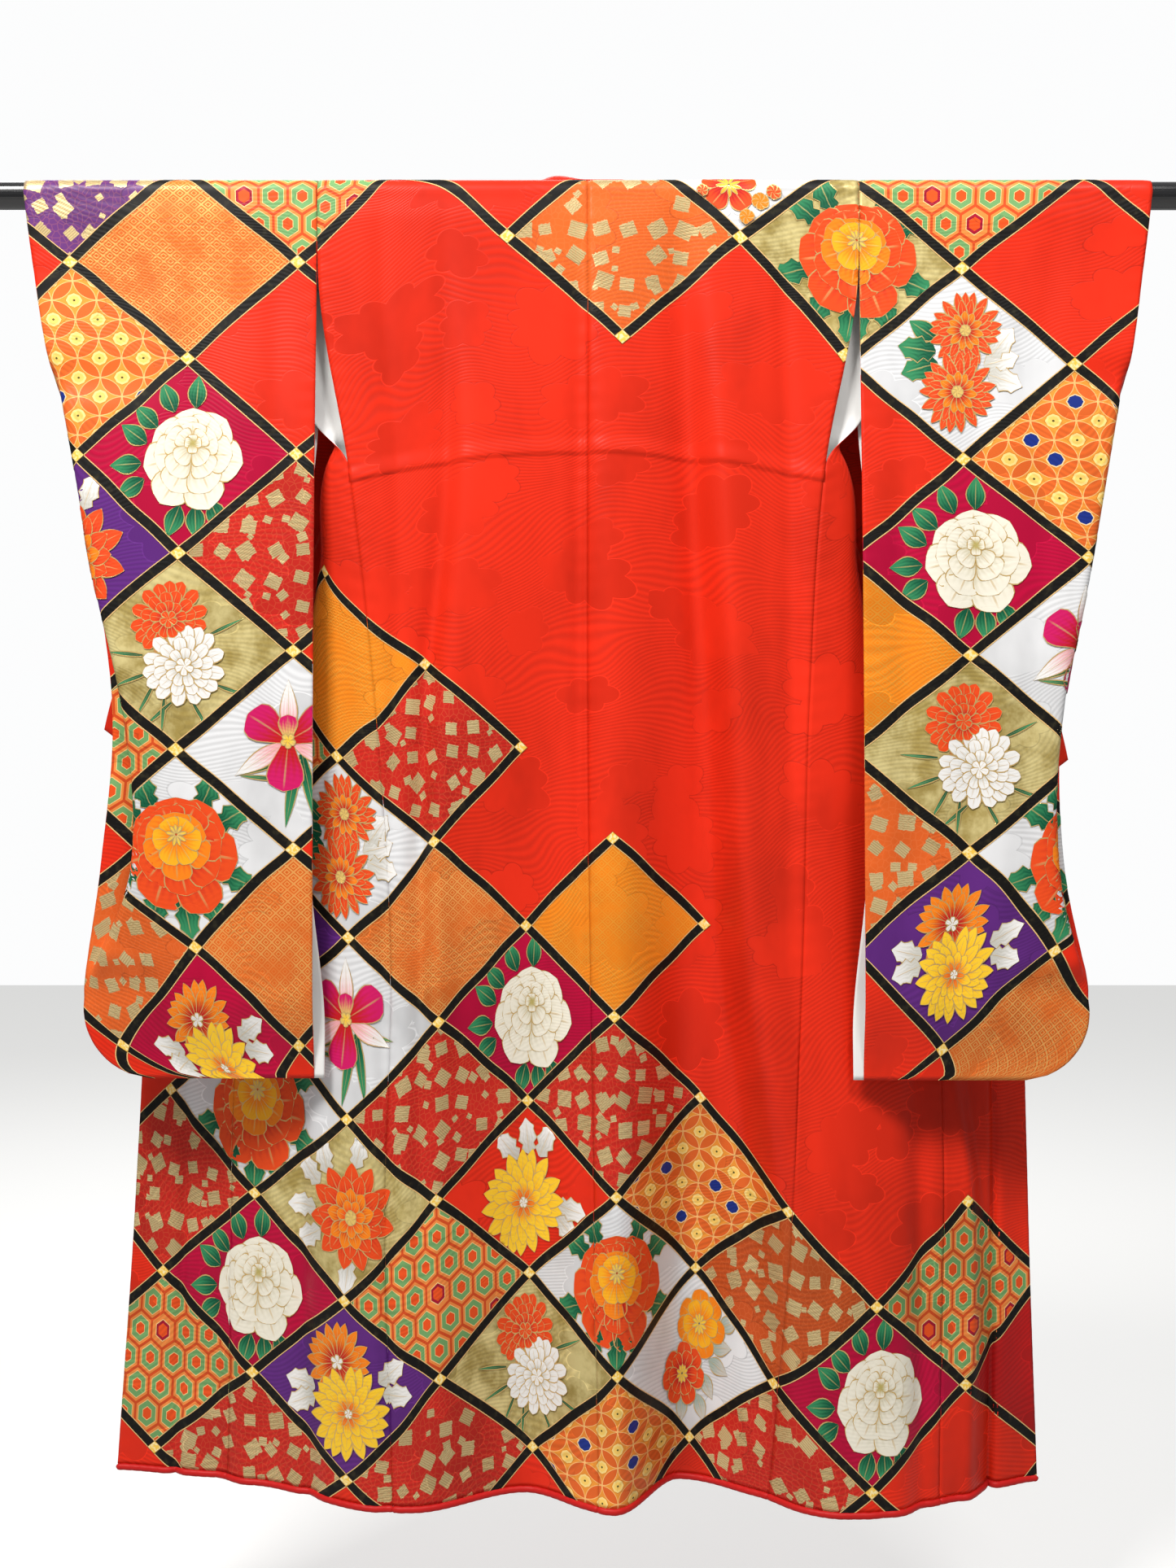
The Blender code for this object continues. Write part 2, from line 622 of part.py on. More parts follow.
def linings(side, word):
    """White lining where it shows: beside the armhole on the front, and low on the sleeve's edge."""
    lift = (WALL + LINING_WALL) / 2 + GAP
    rows, front_columns = front_grid()
    first, last = FRONT_LINING_HEIGHTS
    rows = rows[(rows > first) & (rows < last)]
    u, v = grid_of(rows, lambda h: front_columns(h)[:FRONT_LINING_COLUMNS])
    cloth(
        f"lining_front_{word}",
        lambda a, b: front_surface(side, a, b),
        u, v, "white lining silk", LINING_WALL, side * lift,
    )
    rows = np.linspace(*SLEEVE_LINING_HEIGHTS, SLEEVE_LINING_ROWS)
    u, v = grid_of(rows, lambda h: np.linspace(0.0, SLEEVE_LINING_SHARE, SLEEVE_LINING_COLUMNS))
    cloth(
        f"lining_sleeve_{word}",
        lambda a, b: sleeve_surface(side, a, b),
        u, v, "white lining silk", LINING_WALL, -side * lift,
    )


def hem_rolls(side, word):
    """The lower lining turned out past the hem as a thin padded roll, one for each piece."""
    below_hem = HEM_ROLL_RADIUS + HEM_ROLL_GAP
    share = FRONT_WIDTH / front_width(BODY_LENGTH)
    pieces = (
        ("back", back_surface, 0.0, 1.0, BACK_COLUMNS),
        ("front", front_surface, 0.0, share, FRONT_COLUMNS),
        ("overlap", front_surface, share, 1.0, OVERLAP_COLUMNS),
    )
    for piece, surface, start, end, count in pieces:
        across = np.linspace(start + HEM_ROLL_MARGIN, end - HEM_ROLL_MARGIN, count)
        path = surface(side, across, np.full_like(across, BODY_LENGTH))
        path[:, 2] -= below_hem
        tube(f"hem_roll_{piece}_{word}", path, HEM_ROLL_RADIUS, HEM_ROLL_SIDES, "deep red hem silk")


def main():
    clear_scene()
    rod()
    for side, word in ((-1, "left"), (1, "right")):
        back(side, word)
        front(side, word)
        overlap(side, word)
        sleeve(side, word)
        linings(side, word)
        hem_rolls(side, word)
    collar()


main()
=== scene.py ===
"""The looks of a furisode that hangs from a black display rod with its back outwards."""

import math

import bpy
import numpy as np
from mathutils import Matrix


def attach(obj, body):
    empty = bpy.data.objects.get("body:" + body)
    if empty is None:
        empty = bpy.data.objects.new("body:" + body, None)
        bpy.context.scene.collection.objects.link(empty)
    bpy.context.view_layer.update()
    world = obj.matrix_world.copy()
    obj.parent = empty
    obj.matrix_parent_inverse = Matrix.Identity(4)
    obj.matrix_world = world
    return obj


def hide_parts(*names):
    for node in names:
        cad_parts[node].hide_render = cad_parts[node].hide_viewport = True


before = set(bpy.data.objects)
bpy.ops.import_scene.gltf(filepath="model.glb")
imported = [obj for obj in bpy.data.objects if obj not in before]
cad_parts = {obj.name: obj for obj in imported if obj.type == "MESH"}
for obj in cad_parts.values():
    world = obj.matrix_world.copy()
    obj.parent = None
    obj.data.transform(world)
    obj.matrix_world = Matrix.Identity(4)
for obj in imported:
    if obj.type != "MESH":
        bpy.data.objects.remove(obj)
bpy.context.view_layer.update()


# The room: a pale floor below the hem and a pale surround, lit by three large soft lamps. The
# camera stands two metres behind the wearer's back, at the height of the garment's middle.

VIEW_DISTANCE = 2.0
VIEW_HEIGHT = -0.7008
SENSOR_HEIGHT = 36.0
LENS = 38.52

camera = bpy.data.objects.new("camera", bpy.data.cameras.new("camera"))
bpy.context.scene.collection.objects.link(camera)
camera.location = (0.0, -VIEW_DISTANCE, VIEW_HEIGHT)
camera.rotation_euler = (math.pi / 2, 0.0, 0.0)
camera.data.sensor_fit = "VERTICAL"
camera.data.sensor_height = SENSOR_HEIGHT
camera.data.lens = LENS
bpy.context.scene.camera = camera

# Lamps: place, the point that they are turned to, side of the square in metres, watts, and tint
LAMPS = {
    "key lamp": ((-1.4, -2.0, 2.2), (0.1, 0.0, -0.5), 1.0, 149.0, (1.0, 0.985, 0.96)),
    "right lamp": ((0.9, -1.8, 2.3), (0.2, 0.0, -0.3), 0.7, 62.0, (1.0, 0.99, 0.975)),
    "back lamp": ((-0.8, 2.8, 1.4), (0.0, 0.0, -0.7), 2.4, 50.0, (1.0, 1.0, 1.0)),
}
for name, (place, aim, size, power, tint) in LAMPS.items():
    lamp = bpy.data.lights.new(name, "AREA")
    lamp.size = size
    lamp.energy = power
    lamp.color = tint
    towards = np.subtract(aim, place)
    yaw = math.atan2(-towards[0], towards[1])
    pitch = math.atan2(math.hypot(towards[0], towards[1]), -towards[2])
    made = bpy.data.objects.new(name, lamp)
    made.location = place
    made.rotation_euler = (pitch, 0.0, yaw)
    bpy.context.scene.collection.objects.link(made)

# The surround is as bright as a white wall where it is seen, and lights the cloth more softly
SURROUND_COLOUR = (0.94, 0.942, 0.945, 1.0)
SURROUND_LIGHT = 0.29
SURROUND_SEEN = 1.04
surround = bpy.data.worlds.new("surround")
surround.use_nodes = True
sky = surround.node_tree
sky.nodes["Background"].inputs["Color"].default_value = SURROUND_COLOUR
seen = sky.nodes.new("ShaderNodeLightPath")
strength = sky.nodes.new("ShaderNodeMapRange")
strength.inputs["To Min"].default_value = SURROUND_LIGHT
strength.inputs["To Max"].default_value = SURROUND_SEEN
sky.links.new(seen.outputs["Is Camera Ray"], strength.inputs["Value"])
sky.links.new(strength.outputs["Result"], sky.nodes["Background"].inputs["Strength"])
bpy.context.scene.world = surround
bpy.context.scene.view_settings.view_transform = "Standard"


def mesh_of(name, points, faces, materials):
    """A smooth mesh object from an array of points and arrays of faces, one for each number of corners."""
    mesh = bpy.data.meshes.new(name)
    mesh.vertices.add(len(points))
    mesh.vertices.foreach_set("co", np.ascontiguousarray(points, np.float32).ravel())
    corners = np.concatenate([group.ravel() for group in faces])
    sizes = np.concatenate([np.full(len(group), group.shape[1]) for group in faces])
    mesh.loops.add(len(corners))
    mesh.loops.foreach_set("vertex_index", corners.astype(np.int32))
    mesh.polygons.add(len(sizes))
    mesh.polygons.foreach_set("loop_start", (np.cumsum(sizes) - sizes).astype(np.int32))
    mesh.update(calc_edges=True)
    mesh.shade_smooth()
    for material in materials:
        mesh.materials.append(material)
    made = bpy.data.objects.new(name, mesh)
    bpy.context.scene.collection.objects.link(made)
    return made


# The floor is darker than it looks, so that it throws less light up at the hem: it glows only
# where the camera sees it
FLOOR_HEIGHT = -1.78
FLOOR_HALF = 7.0
FLOOR_GREY = (0.50, 0.50, 0.495, 1.0)
FLOOR_PALE = (0.86, 0.86, 0.85, 1.0)
FLOOR_GLOW = 0.62
floor_paint = bpy.data.materials.new("floor")
floor_paint.use_nodes = True
floor_tree = floor_paint.node_tree
floor_shader = floor_tree.nodes["Principled BSDF"]
floor_shader.inputs["Base Color"].default_value = FLOOR_GREY
floor_shader.inputs["Roughness"].default_value = 0.9
floor_shader.inputs["Specular IOR Level"].default_value = 0.1
floor_shader.inputs["Emission Color"].default_value = FLOOR_PALE
floor_seen = floor_tree.nodes.new("ShaderNodeLightPath")
floor_glow = floor_tree.nodes.new("ShaderNodeMath")
floor_glow.operation = "MULTIPLY"
floor_glow.inputs[1].default_value = FLOOR_GLOW
floor_tree.links.new(floor_seen.outputs["Is Camera Ray"], floor_glow.inputs[0])
floor_tree.links.new(floor_glow.outputs[0], floor_shader.inputs["Emission Strength"])
floor_corners = np.array([(-1, -1, 0), (1, -1, 0), (1, 1, 0), (-1, 1, 0)]) * FLOOR_HALF
floor_square = [np.array([[0, 1, 2, 3]])]
floor = mesh_of("floor", floor_corners + (0.0, 0.0, FLOOR_HEIGHT), floor_square, [floor_paint])


# The display rod: a turned wooden bar with a gloss black lacquer, 32 mm thick. Its CAD solid has
# the right shape and stays; the lacquer has fine dust and faint brush waves along the rod.

LACQUER = (0.006, 0.006, 0.007)
DUST = (0.050, 0.050, 0.052, 1.0)
DUST_SHARE = 0.4
BRUSH_STRETCH = (4.0, 60.0)
LACQUER_ROUGHNESS = 0.16
BRUSH_ROUGHNESS = 0.10

# Where the Mix node keeps the first of its two values, and its result
MIX_SOCKETS = {"RGBA": (6, 2), "VECTOR": (4, 1)}


def fill(tree, socket, value):
    """Joins a Field to a socket, or writes a plain value into it."""
    if isinstance(value, Field):
        tree.links.new(value.socket, socket)
    else:
        socket.default_value = value


class Field:
    """A number, vector or colour that varies over a surface. Its arithmetic adds one node to the
    tree for each step, so that an effect can be written as a formula."""

    def __init__(self, tree, socket):
        self.tree = tree
        self.socket = socket

    def step(self, kind, values, settings=(), output=0):
        """The output of a new node of a kind, with its inputs filled and its settings made."""
        made = self.tree.nodes.new(kind)
        for key, value in dict(settings).items():
            setattr(made, key, value)
        for place, value in values.items():
            fill(self.tree, made.inputs[place], value)
        return Field(self.tree, made.outputs[output])

    def maths(self, operation, *others):
        """A sum on this number and others, by the Math node's own name for it."""
        values = dict(enumerate((self, *others)))
        return self.step("ShaderNodeMath", values, {"operation": operation})

    def __add__(self, other):
        return self.maths("ADD", other)

    def __sub__(self, other):
        return self.maths("SUBTRACT", other)

    def __mul__(self, other):
        return self.maths("MULTIPLY", other)

    def under(self, other):
        return self.maths("LESS_THAN", other)

    def over(self, other):
        return self.maths("GREATER_THAN", other)

    def left(self):
        """One less this number: the share that is left."""
        return self * -1.0 + 1.0

    def part(self, axis):
        return self.step("ShaderNodeSeparateXYZ", {0: self}, output=axis)

    def vector_maths(self, operation, *others, output=0):
        """The same on vectors; output 1 holds a length or a distance."""
        values = dict(enumerate((self, *others)))
        return self.step("ShaderNodeVectorMath", values, {"operation": operation}, output)

    def length(self):
        return self.vector_maths("LENGTH", output=1)

    def scaled(self, x, y):
        return self.vector_maths("MULTIPLY", (x, y, 1.0))

    def towards(self, other, share, kind="RGBA"):
        """This colour or vector mixed towards another one by a share from 0 to 1."""
        first, result = MIX_SOCKETS[kind]
        made = self.tree.nodes.new("ShaderNodeMix")
        made.data_type = kind
        for place, value in ((0, share), (first, self), (first + 1, other)):
            fill(self.tree, made.inputs[place], value)
        return Field(self.tree, made.outputs[result])

    def noise(self, scale, detail=1.0, roughness=0.5):
        values = {"Vector": self, "Scale": scale, "Detail": detail, "Roughness": roughness}
        return self.step("ShaderNodeTexNoise", values)

    def soft_step(self, start, end):
        """0 at start, 1 at end, and smooth between."""
        values = {0: self, 1: start, 2: end, 3: 0.0, 4: 1.0}
        return self.step("ShaderNodeMapRange", values, {"interpolation_type": "SMOOTHSTEP"})

    def banded(self, bands):
        """A colour for each band of values, with hard edges: (start of the band, colour)."""
        made = self.tree.nodes.new("ShaderNodeValToRGB")
        made.color_ramp.interpolation = "CONSTANT"
        while len(made.color_ramp.elements) < len(bands):
            made.color_ramp.elements.new(1.0)
        for element, (start, colour) in zip(made.color_ramp.elements, bands):
            element.position = start
            element.color = (*colour, 1.0)
        self.tree.links.new(self.socket, made.inputs[0])
        return Field(self.tree, made.outputs[0])

    def into(self, shader, name):
        """Joins this Field to an input of the shader."""
        self.tree.links.new(self.socket, shader.inputs[name])


def dye(tree, colour):
    """A plain colour as a Field, from its red, green and blue."""
    made = tree.nodes.new("ShaderNodeRGB").outputs[0]
    made.default_value = (*colour, 1.0)
    return Field(tree, made)


def effect(name, inputs, outputs, formula):
    """A node group whose outputs are worked out by a formula from its inputs."""
    tree = bpy.data.node_groups.new(name, "ShaderNodeTree")
    for key, kind in inputs.items():
        tree.interface.new_socket(key, in_out="INPUT", socket_type=kind)
    for key, kind in outputs.items():
        tree.interface.new_socket(key, in_out="OUTPUT", socket_type=kind)
    entry = tree.nodes.new("NodeGroupInput")
    found = formula(*(Field(tree, entry.outputs[key]) for key in inputs))
    leaving = tree.nodes.new("NodeGroupOutput")
    for key, field in zip(outputs, found if isinstance(found, tuple) else (found,)):
        tree.links.new(field.socket, leaving.inputs[key])
    return tree


def use(tree, group, values):
    """Places an effect in a material and returns its outputs as Fields, by name."""
    made = tree.nodes.new("ShaderNodeGroup")
    made.node_tree = group
    for key, value in values.items():
        fill(tree, made.inputs[key], value)
    return {socket.name: Field(tree, socket) for socket in made.outputs}


def material_tree(name):
    """A new material, its node tree and its shader."""
    made = bpy.data.materials.new(name)
    made.use_nodes = True
    return made, made.node_tree, made.node_tree.nodes["Principled BSDF"]


def read_map(tree, name):
    """A place in one of a mesh's maps, as a Field."""
    made = tree.nodes.new("ShaderNodeUVMap")
    made.uv_map = name
    return Field(tree, made.outputs[0])


def join_bump(shader, height, strength, distance):
    """Turns a height into the shader's normal by a Bump node."""
    values = {"Height": height, "Strength": strength, "Distance": distance}
    height.step("ShaderNodeBump", values).into(shader, "Normal")


lacquer, tree, shader = material_tree("black lacquer")
place = Field(tree, tree.nodes.new("ShaderNodeTexCoord").outputs["Object"])
waves = place.scaled(*BRUSH_STRETCH).noise(6.0, 2.0)
specks = place.noise(900.0, 1.0).soft_step(0.66, 0.72)
dye(tree, LACQUER).towards(DUST, specks * DUST_SHARE).into(shader, "Base Color")
(waves * BRUSH_ROUGHNESS + LACQUER_ROUGHNESS).into(shader, "Roughness")
shader.inputs["Coat Weight"].default_value = 1.0
shader.inputs["Coat Roughness"].default_value = 0.06
join_bump(shader, waves, 0.04, 0.001)

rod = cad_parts["display_rod"]
rod.data.materials.clear()
rod.data.materials.append(lacquer)


# The back: two lengths of scarlet figured silk, each 0.32 m wide as sewn, joined at the centre
# seam and lined with white silk. The cloth runs over the rod and hangs in long soft folds; a tuck
# sewn across it takes up spare length.

DRAPE_RADIUS = 0.0173
SETTLING = 0.035
QUARTER_TURN = DRAPE_RADIUS * math.pi / 2
BODY_LENGTH = 1.571
BACK_WIDTH = 0.320
SHELL = 0.0016
MESH_STEP = 0.005
TUCK_STEP = 0.0025
CLOSEST_ROWS = 0.001
TURN_ROWS = np.linspace(0.0, QUARTER_TURN, 9)[:-1]
SEAM_DIP = 0.0007
SEAM_REACH = 0.004
PUCKER = 0.00024
PUCKER_LENGTH = 0.021
PUCKER_REACH = 0.016
PUCKER_WANDER = 3.0
PUCKER_WANDER_RATE = 17.0
HEM_LINING_HEIGHT = 0.400

# The folds of the whole sheet, from left to right: place across and depth, in millimetres, at each
# of LEVELS, which are metres below the rod. The three seams have a place alone.
LEVELS = (0.00, 0.11, 0.33, 0.60, 0.90, 1.20, 1.55)
SHEET_FOLDS = (
    ("left front edge", (-560, -560, -556, -552, -540, -553, -578), (48, 48, 48, 48, 46, 52, 60)),
    ("left hollow", (-480, -480, -476, -470, -462, -455, -455), (38, 38, 38, 38, 36, 44, 45)),
    ("left crease", (-446, -446, -444, -440, -430, -418, -410), (30, 30, 30, 30, 26, 29, 25)),
    ("left seam ridge", (-320, -318, -282, -251, -238, -240, -240), (-19, -20, -23, -27, -33, -46, -42)),
    ("left valley", (-205, -200, -184, -200, -222, -229, -225), (-19, -19, -19, -21, -33, -46, -43)),
    ("left ridge", (-140, -135, -127, -150, -193, -214, -205), (-19, -21, -28, -34, -38, -46, -42)),
    ("centre valley", (-34, -32, -22, -34, -56, -66, -76), (-19, -19, -19, -14, -7, 8, 16)),
    ("centre ridge", (22, 23, 28, 34, 34, 33, 31), (-19, -22, -29, -33, -37, -43, -49)),
    ("right valley", (105, 107, 117, 123, 124, 121, 110), (-19, -16, -12, -3, 10, 35, 55)),
    ("right ridge", (160, 162, 166, 174, 198, 258, 300), (-19, -22, -29, -34, -42, -50, -61)),
    ("right small valley", (235, 235, 226, 236, 236, 285, 325), (-19, -19, -19, -23, -37, -49, -61)),
    ("right seam ridge", (320, 318, 279, 261, 264, 312, 350), (-19, -20, -25, -27, -35, -46, -57)),
    ("right crease", (424, 424, 422, 420, 410, 452, 445), (24, 24, 24, 24, 20, -8, -14)),
    ("right hollow", (455, 455, 453, 450, 445, 478, 485), (34, 34, 34, 34, 30, 22, 21)),
    ("right front edge", (550, 550, 548, 545, 532, 535, 546), (46, 46, 46, 46, 42, 40, 40)),
)
CENTRE_SEAM = (0, 0, -1, -1, 2, 7, 12)
LEFT_SEAM = (-320, -318, -282, -251, -232, -237, -228)
RIGHT_SEAM = (320, 318, 279, 261, 252, 238, 214)

# Creases, soft troughs in the hanging sheet: place across at each of LEVELS, half width, and depth
# at each of LEVELS, in millimetres
CREASES = (
    ("left pleat", (-175, -170, -167, -190, -196, -196, -190), 13, (0, 1, 4, 7, 8, 4, 0)),
    ("left pleat's crest", (-156, -152, -149, -172, -178, -178, -172), 17, (0, 0, -1, -3, -3, -2, 0)),
    ("centre groove", (-11, -11, -10, -9, -7, -2, 4), 11, (0, 2, 4, 5, 4, 3, 1)),
    ("right valley", (107, 110, 123, 146, 161, 199, 215), 21, (1, 4, 8, 11, 12, 10, 4)),
    ("right valley's crest", (134, 137, 150, 174, 189, 227, 244), 24, (0, -1, -2, -3, -3, -3, -1)),
    ("right hollow", (228, 230, 238, 242, 240, 262, 270), 12, (0, 2, 3, 3, 2, 1, 0)),
    ("left hollow", (-246, -244, -226, -228, -240, -236, -232), 10, (0, 1, 2, 2, 4, 4, 2)),
    ("left overlap pleat", (-500, -500, -498, -494, -487, -492, -505), 7, (0, 0, 0, 0, 2, 4, 4)),
    ("right overlap pleat", (496, 496, 496, 494, 490, 490, 482), 5, (0, 0, 0, 0, 3, 6, 6)),
    ("right front furrow", (395, 395, 394, 392, 388, 392, 388), 14, (0, 0, 0, 0, 3, 6, 5)),
    ("left front furrow", (-352, -350, -342, -338, -340, -342, -330), 12, (0, 0, 0, 0, 3, 6, 5)),
)

CREASE_DEPTH = 1.5

# The tuck: a fold sewn across the back that laps down over its seam
TUCK_HEIGHT = 0.309
TUCK_SAG = 0.034
TUCK_DROP = 0.022
TUCK_DEPTH = 0.0017
TUCK_EDGE = 0.003


def ease(t):
    """Zero below 0, one above 1, and a smooth step between."""
    t = np.clip(t, 0.0, 1.0)
    return t * t * (3.0 - 2.0 * t)


def ramp_between(limits, value):
    """A smooth step from 0 at the first limit to 1 at the second."""
    return ease((value - limits[0]) / (limits[1] - limits[0]))


def mix(a, b, t):
    """a where t is 0, b where it is 1, and in even proportion between."""
    return a + (b - a) * t


def track(stations, values, at):
    """A smooth curve through values at the given stations: cubic pieces with averaged slopes."""
    stations = np.asarray(stations, float)
    values = np.asarray(values, float)
    at = np.clip(np.asarray(at, float), stations[0], stations[-1])
    slopes = np.gradient(values, stations)
    k = np.clip(np.searchsorted(stations, at, side="right") - 1, 0, len(stations) - 2)
    width = stations[k + 1] - stations[k]
    t = (at - stations[k]) / width
    return (
        (2 * t**3 - 3 * t**2 + 1) * values[k]
        + (t**3 - 2 * t**2 + t) * width * slopes[k]
        + (3 * t**2 - 2 * t**3) * values[k + 1]
        + (t**3 - t**2) * width * slopes[k + 1]
    )


def millimetres(stations, values, at):
    """The track through values given in millimetres, in metres."""
    return track(stations, values, at) / 1000.0


def sheet_depth(x, below):
    """Depth of the hanging sheet: smooth steps from each ridge to the next valley, and creases,
    each the trough of a bell curve."""
    places = [millimetres(LEVELS, fold[1], below) for fold in SHEET_FOLDS]
    depths = [millimetres(LEVELS, fold[2], below) for fold in SHEET_FOLDS]
    depth = depths[0] + 0.0 * x
    for k in range(len(SHEET_FOLDS) - 1):
        step = (x - places[k]) / np.maximum(places[k + 1] - places[k], 1e-4)
        depth = depth + (depths[k + 1] - depths[k]) * ease(step)
    for name, place, half_width, trough in CREASES:
        away = (x - millimetres(LEVELS, place, below)) * 1000.0 / half_width
        depth = depth + CREASE_DEPTH * millimetres(LEVELS, trough, below) * np.exp(-(away**2))
    return depth


def over_rod(flat_height):
    """Angle round the rod from its top, and the height below the rod's axis once past it."""
    angle = np.minimum(flat_height / DRAPE_RADIUS, math.pi / 2)
    below = np.maximum(flat_height - QUARTER_TURN, 0.0)
    return angle, below


def hang(x, y, z, angle, sign):
    """The point as given once past the rod, and on the drape circle while going round it. Just
    below the rod the cloth settles from the circle into its folds."""
    past = angle >= math.pi / 2
    settled = mix(sign * DRAPE_RADIUS, y, ease(-z / SETTLING))
    y = np.where(past, settled, sign * DRAPE_RADIUS * np.sin(angle))
    z = np.where(past, z, DRAPE_RADIUS * np.cos(angle))
    return np.stack([x + 0.0 * y, y, z], -1)


def back_surface(side, across, flat_height):
    """A point of the back. across runs from 0 at the centre seam to 1 at the side seam."""
    angle, below = over_rod(flat_height)
    centre = millimetres(LEVELS, CENTRE_SEAM, below)
    seam = millimetres(LEVELS, LEFT_SEAM if side < 0 else RIGHT_SEAM, below)
    x = mix(centre, seam, across)
    tuck_line = TUCK_HEIGHT + TUCK_SAG * np.clip(across, 0.0, 1.0) ** 2
    swelling = ease((below - tuck_line + TUCK_DROP) / TUCK_DROP)
    overlap = swelling * (1.0 - ease((below - tuck_line) / TUCK_EDGE))
    y = sheet_depth(x, below) - TUCK_DEPTH * overlap
    return hang(x, y, -below, angle, -1.0)


# The dyer's lattice: diamonds that run over the seams. A node lies where column and row add up to an
# even number, and the middle of a cell where they add up to an odd one. A region gives the place of
# its node 0, 0 on the flat cloth, the spacing of its columns and rows, and its cells, each with its
# ground and, where it has one, its bunch of flowers.
PLAIN = "scarlet"
UPPER_BACK = {
    "origin": (-0.0955, 0.0859),
    "spacing": (0.1375, 0.1198),
    "cells": {
        (-2, -1): ("hexagons", None),
        (0, -1): ("scarlet", None),
        (1, 0): ("leaf on orange", None),
        (2, -1): ("white", "plum blossoms"),
        (3, 0): ("gold", "peony"),
    },
}
LOWER_BODY = {
    "origin": (-0.381, 0.4962),
    "spacing": (0.139, 0.1048),
    "cells": {
        (0, 1): ("amber", None),
        (1, 2): ("leaf on red", None),
        (-1, 2): ("hexagons", None),
        (0, 3): ("white", "two red chrysanthemums"),
        (1, 4): ("fine gold", None),
        (3, 4): ("amber", None),
        (2, 5): ("magenta", "white rose"),
        (-1, 4): ("purple", None),
        (0, 5): ("white", "orchid"),
        (1, 6): ("leaf on red", None),
        (3, 6): ("leaf on red", None),
        (-1, 6): ("white", "peony"),
        (2, 7): ("scarlet", "yellow chrysanthemum"),
        (4, 7): ("circles", None),
        (-2, 7): ("leaf on red", None),
        (0, 7): ("gold", "dahlia"),
        (1, 8): ("hexagons", None),
        (3, 8): ("white", "peony"),
        (5, 8): ("leaf on brown", None),
        (4, 9): ("white", "camellias"),
        (-1, 8): ("magenta", "white rose"),
        (-2, 9): ("hexagons", None),
        (0, 9): ("purple", "two chrysanthemums"),
        (2, 9): ("gold", "carnations"),
        (-1, 10): ("leaf on red", None),
        (1, 10): ("leaf on red", None),
        (5, 10): ("leaf on red", None),
        (3, 10): ("circles", None),
        (6, 9): ("magenta", "white rose"),
        (7, 8): ("hexagons", None),
        (8, 9): ("crimson", None),
        (7, 10): ("scarlet", None),
        (-3, 8): ("scarlet", None),
    },
}
UPPER_REGION_ENDS = 0.36


def place_in(region, u, v):
    """Column and row of a region's lattice at a place of the flat cloth."""
    (left, top), (width, height) = region["origin"], region["spacing"]
    return (u - left) / width, (v - top) / height


def cell_at(region, u, v):
    """Column and row of the middle of the cell that holds a place."""
    column, row = place_in(region, u, v)
    i = np.floor((column + row) / 2)
    j = np.floor((column - row) / 2)
    return (i + j + 1).astype(int), (i - j).astype(int)


def turned_over(side, u, v):
    """The same place as told from the other face of the garment, past the shoulder line."""
    return side * 2 * BACK_WIDTH - u, -v


def even(start, end, step=MESH_STEP):
    """Places evenly apart from start to end, no further than a step."""
    return np.linspace(start, end, int(math.ceil((end - start) / step)) + 1)


def body_rows(start):
    """Flat heights of a body piece's rows, closer together round the rod and at the tuck."""
    tuck = even(TUCK_HEIGHT - TUCK_DROP, TUCK_HEIGHT + TUCK_SAG + TUCK_EDGE, TUCK_STEP) + QUARTER_TURN
    rows = np.unique(np.concatenate([TURN_ROWS, even(QUARTER_TURN, BODY_LENGTH), tuck]))
    rows = rows[np.append(True, np.diff(rows) > CLOSEST_ROWS)]
    return np.concatenate([[start], rows[rows > start + CLOSEST_ROWS]])


def unit(vectors):
    """Vectors divided by their own lengths."""
    return vectors / np.maximum(np.linalg.norm(vectors, axis=-1, keepdims=True), 1e-12)


def drape(piece, shell=SHELL):
    """Works out the faces of a piece of cloth and keeps them in it.

    The piece's columns run from 0 to 1 between the two edges that its span gives in the surface's
    own measure. The outer face dips at the seams and puckers beside them, by a wave along the seam
    that dies out over PUCKER_REACH.
    """
    rows, columns = piece["rows"], piece["columns"]
    start, end = piece["span"](rows)
    share = mix(start[:, None], end[:, None], columns)
    height = np.repeat(rows[:, None], len(columns), axis=1)
    middle = piece["surface"](share, height)
    crossed = np.cross(np.gradient(middle, axis=1), np.gradient(middle, axis=0))
    normal = piece["outwards"] * unit(crossed)
    width = np.linalg.norm(np.diff(middle, axis=1), axis=-1).sum(axis=1)[:, None]
    from_edge = np.minimum(columns, 1.0 - columns) * width
    dip = SEAM_DIP * np.exp(-from_edge / SEAM_REACH)
    wander = PUCKER_WANDER * np.sin(height * PUCKER_WANDER_RATE)
    wave = np.sin(height * 2 * math.pi / PUCKER_LENGTH + wander)
    pucker = PUCKER * wave * np.exp(-((from_edge / PUCKER_REACH) ** 2))
    piece["share"], piece["height"], piece["normal"] = share, height, normal
    piece["outer"] = middle + normal * (shell / 2 - dip + pucker)[..., None]
    piece["inner"] = middle - normal * (shell / 2)
    return piece


def find_cells(piece, u, v):
    """The ground at each place of the flat cloth, and the lattice's two slanting coordinates."""
    grounds = np.full(u.shape, PLAIN, dtype=object)
    lattice = np.zeros((*u.shape, 2))
    for region, first, last, turned in piece["regions"]:
        there_u, there_v = turned_over(piece["side"], u, v) if turned else (u, v)
        inside = (v >= first) & (v < last)
        column, row = place_in(region, there_u, there_v)
        lattice[inside] = np.stack([(column + row) / 2, (column - row) / 2], -1)[inside]
        k, r = cell_at(region, there_u, there_v)
        r = np.where(r < -1, -r, r) if region.get("repeats_behind") else r
        for cell, (ground, bunch) in region["cells"].items():
            grounds[inside & (k == cell[0]) & (r == cell[1])] = ground
    return grounds, lattice


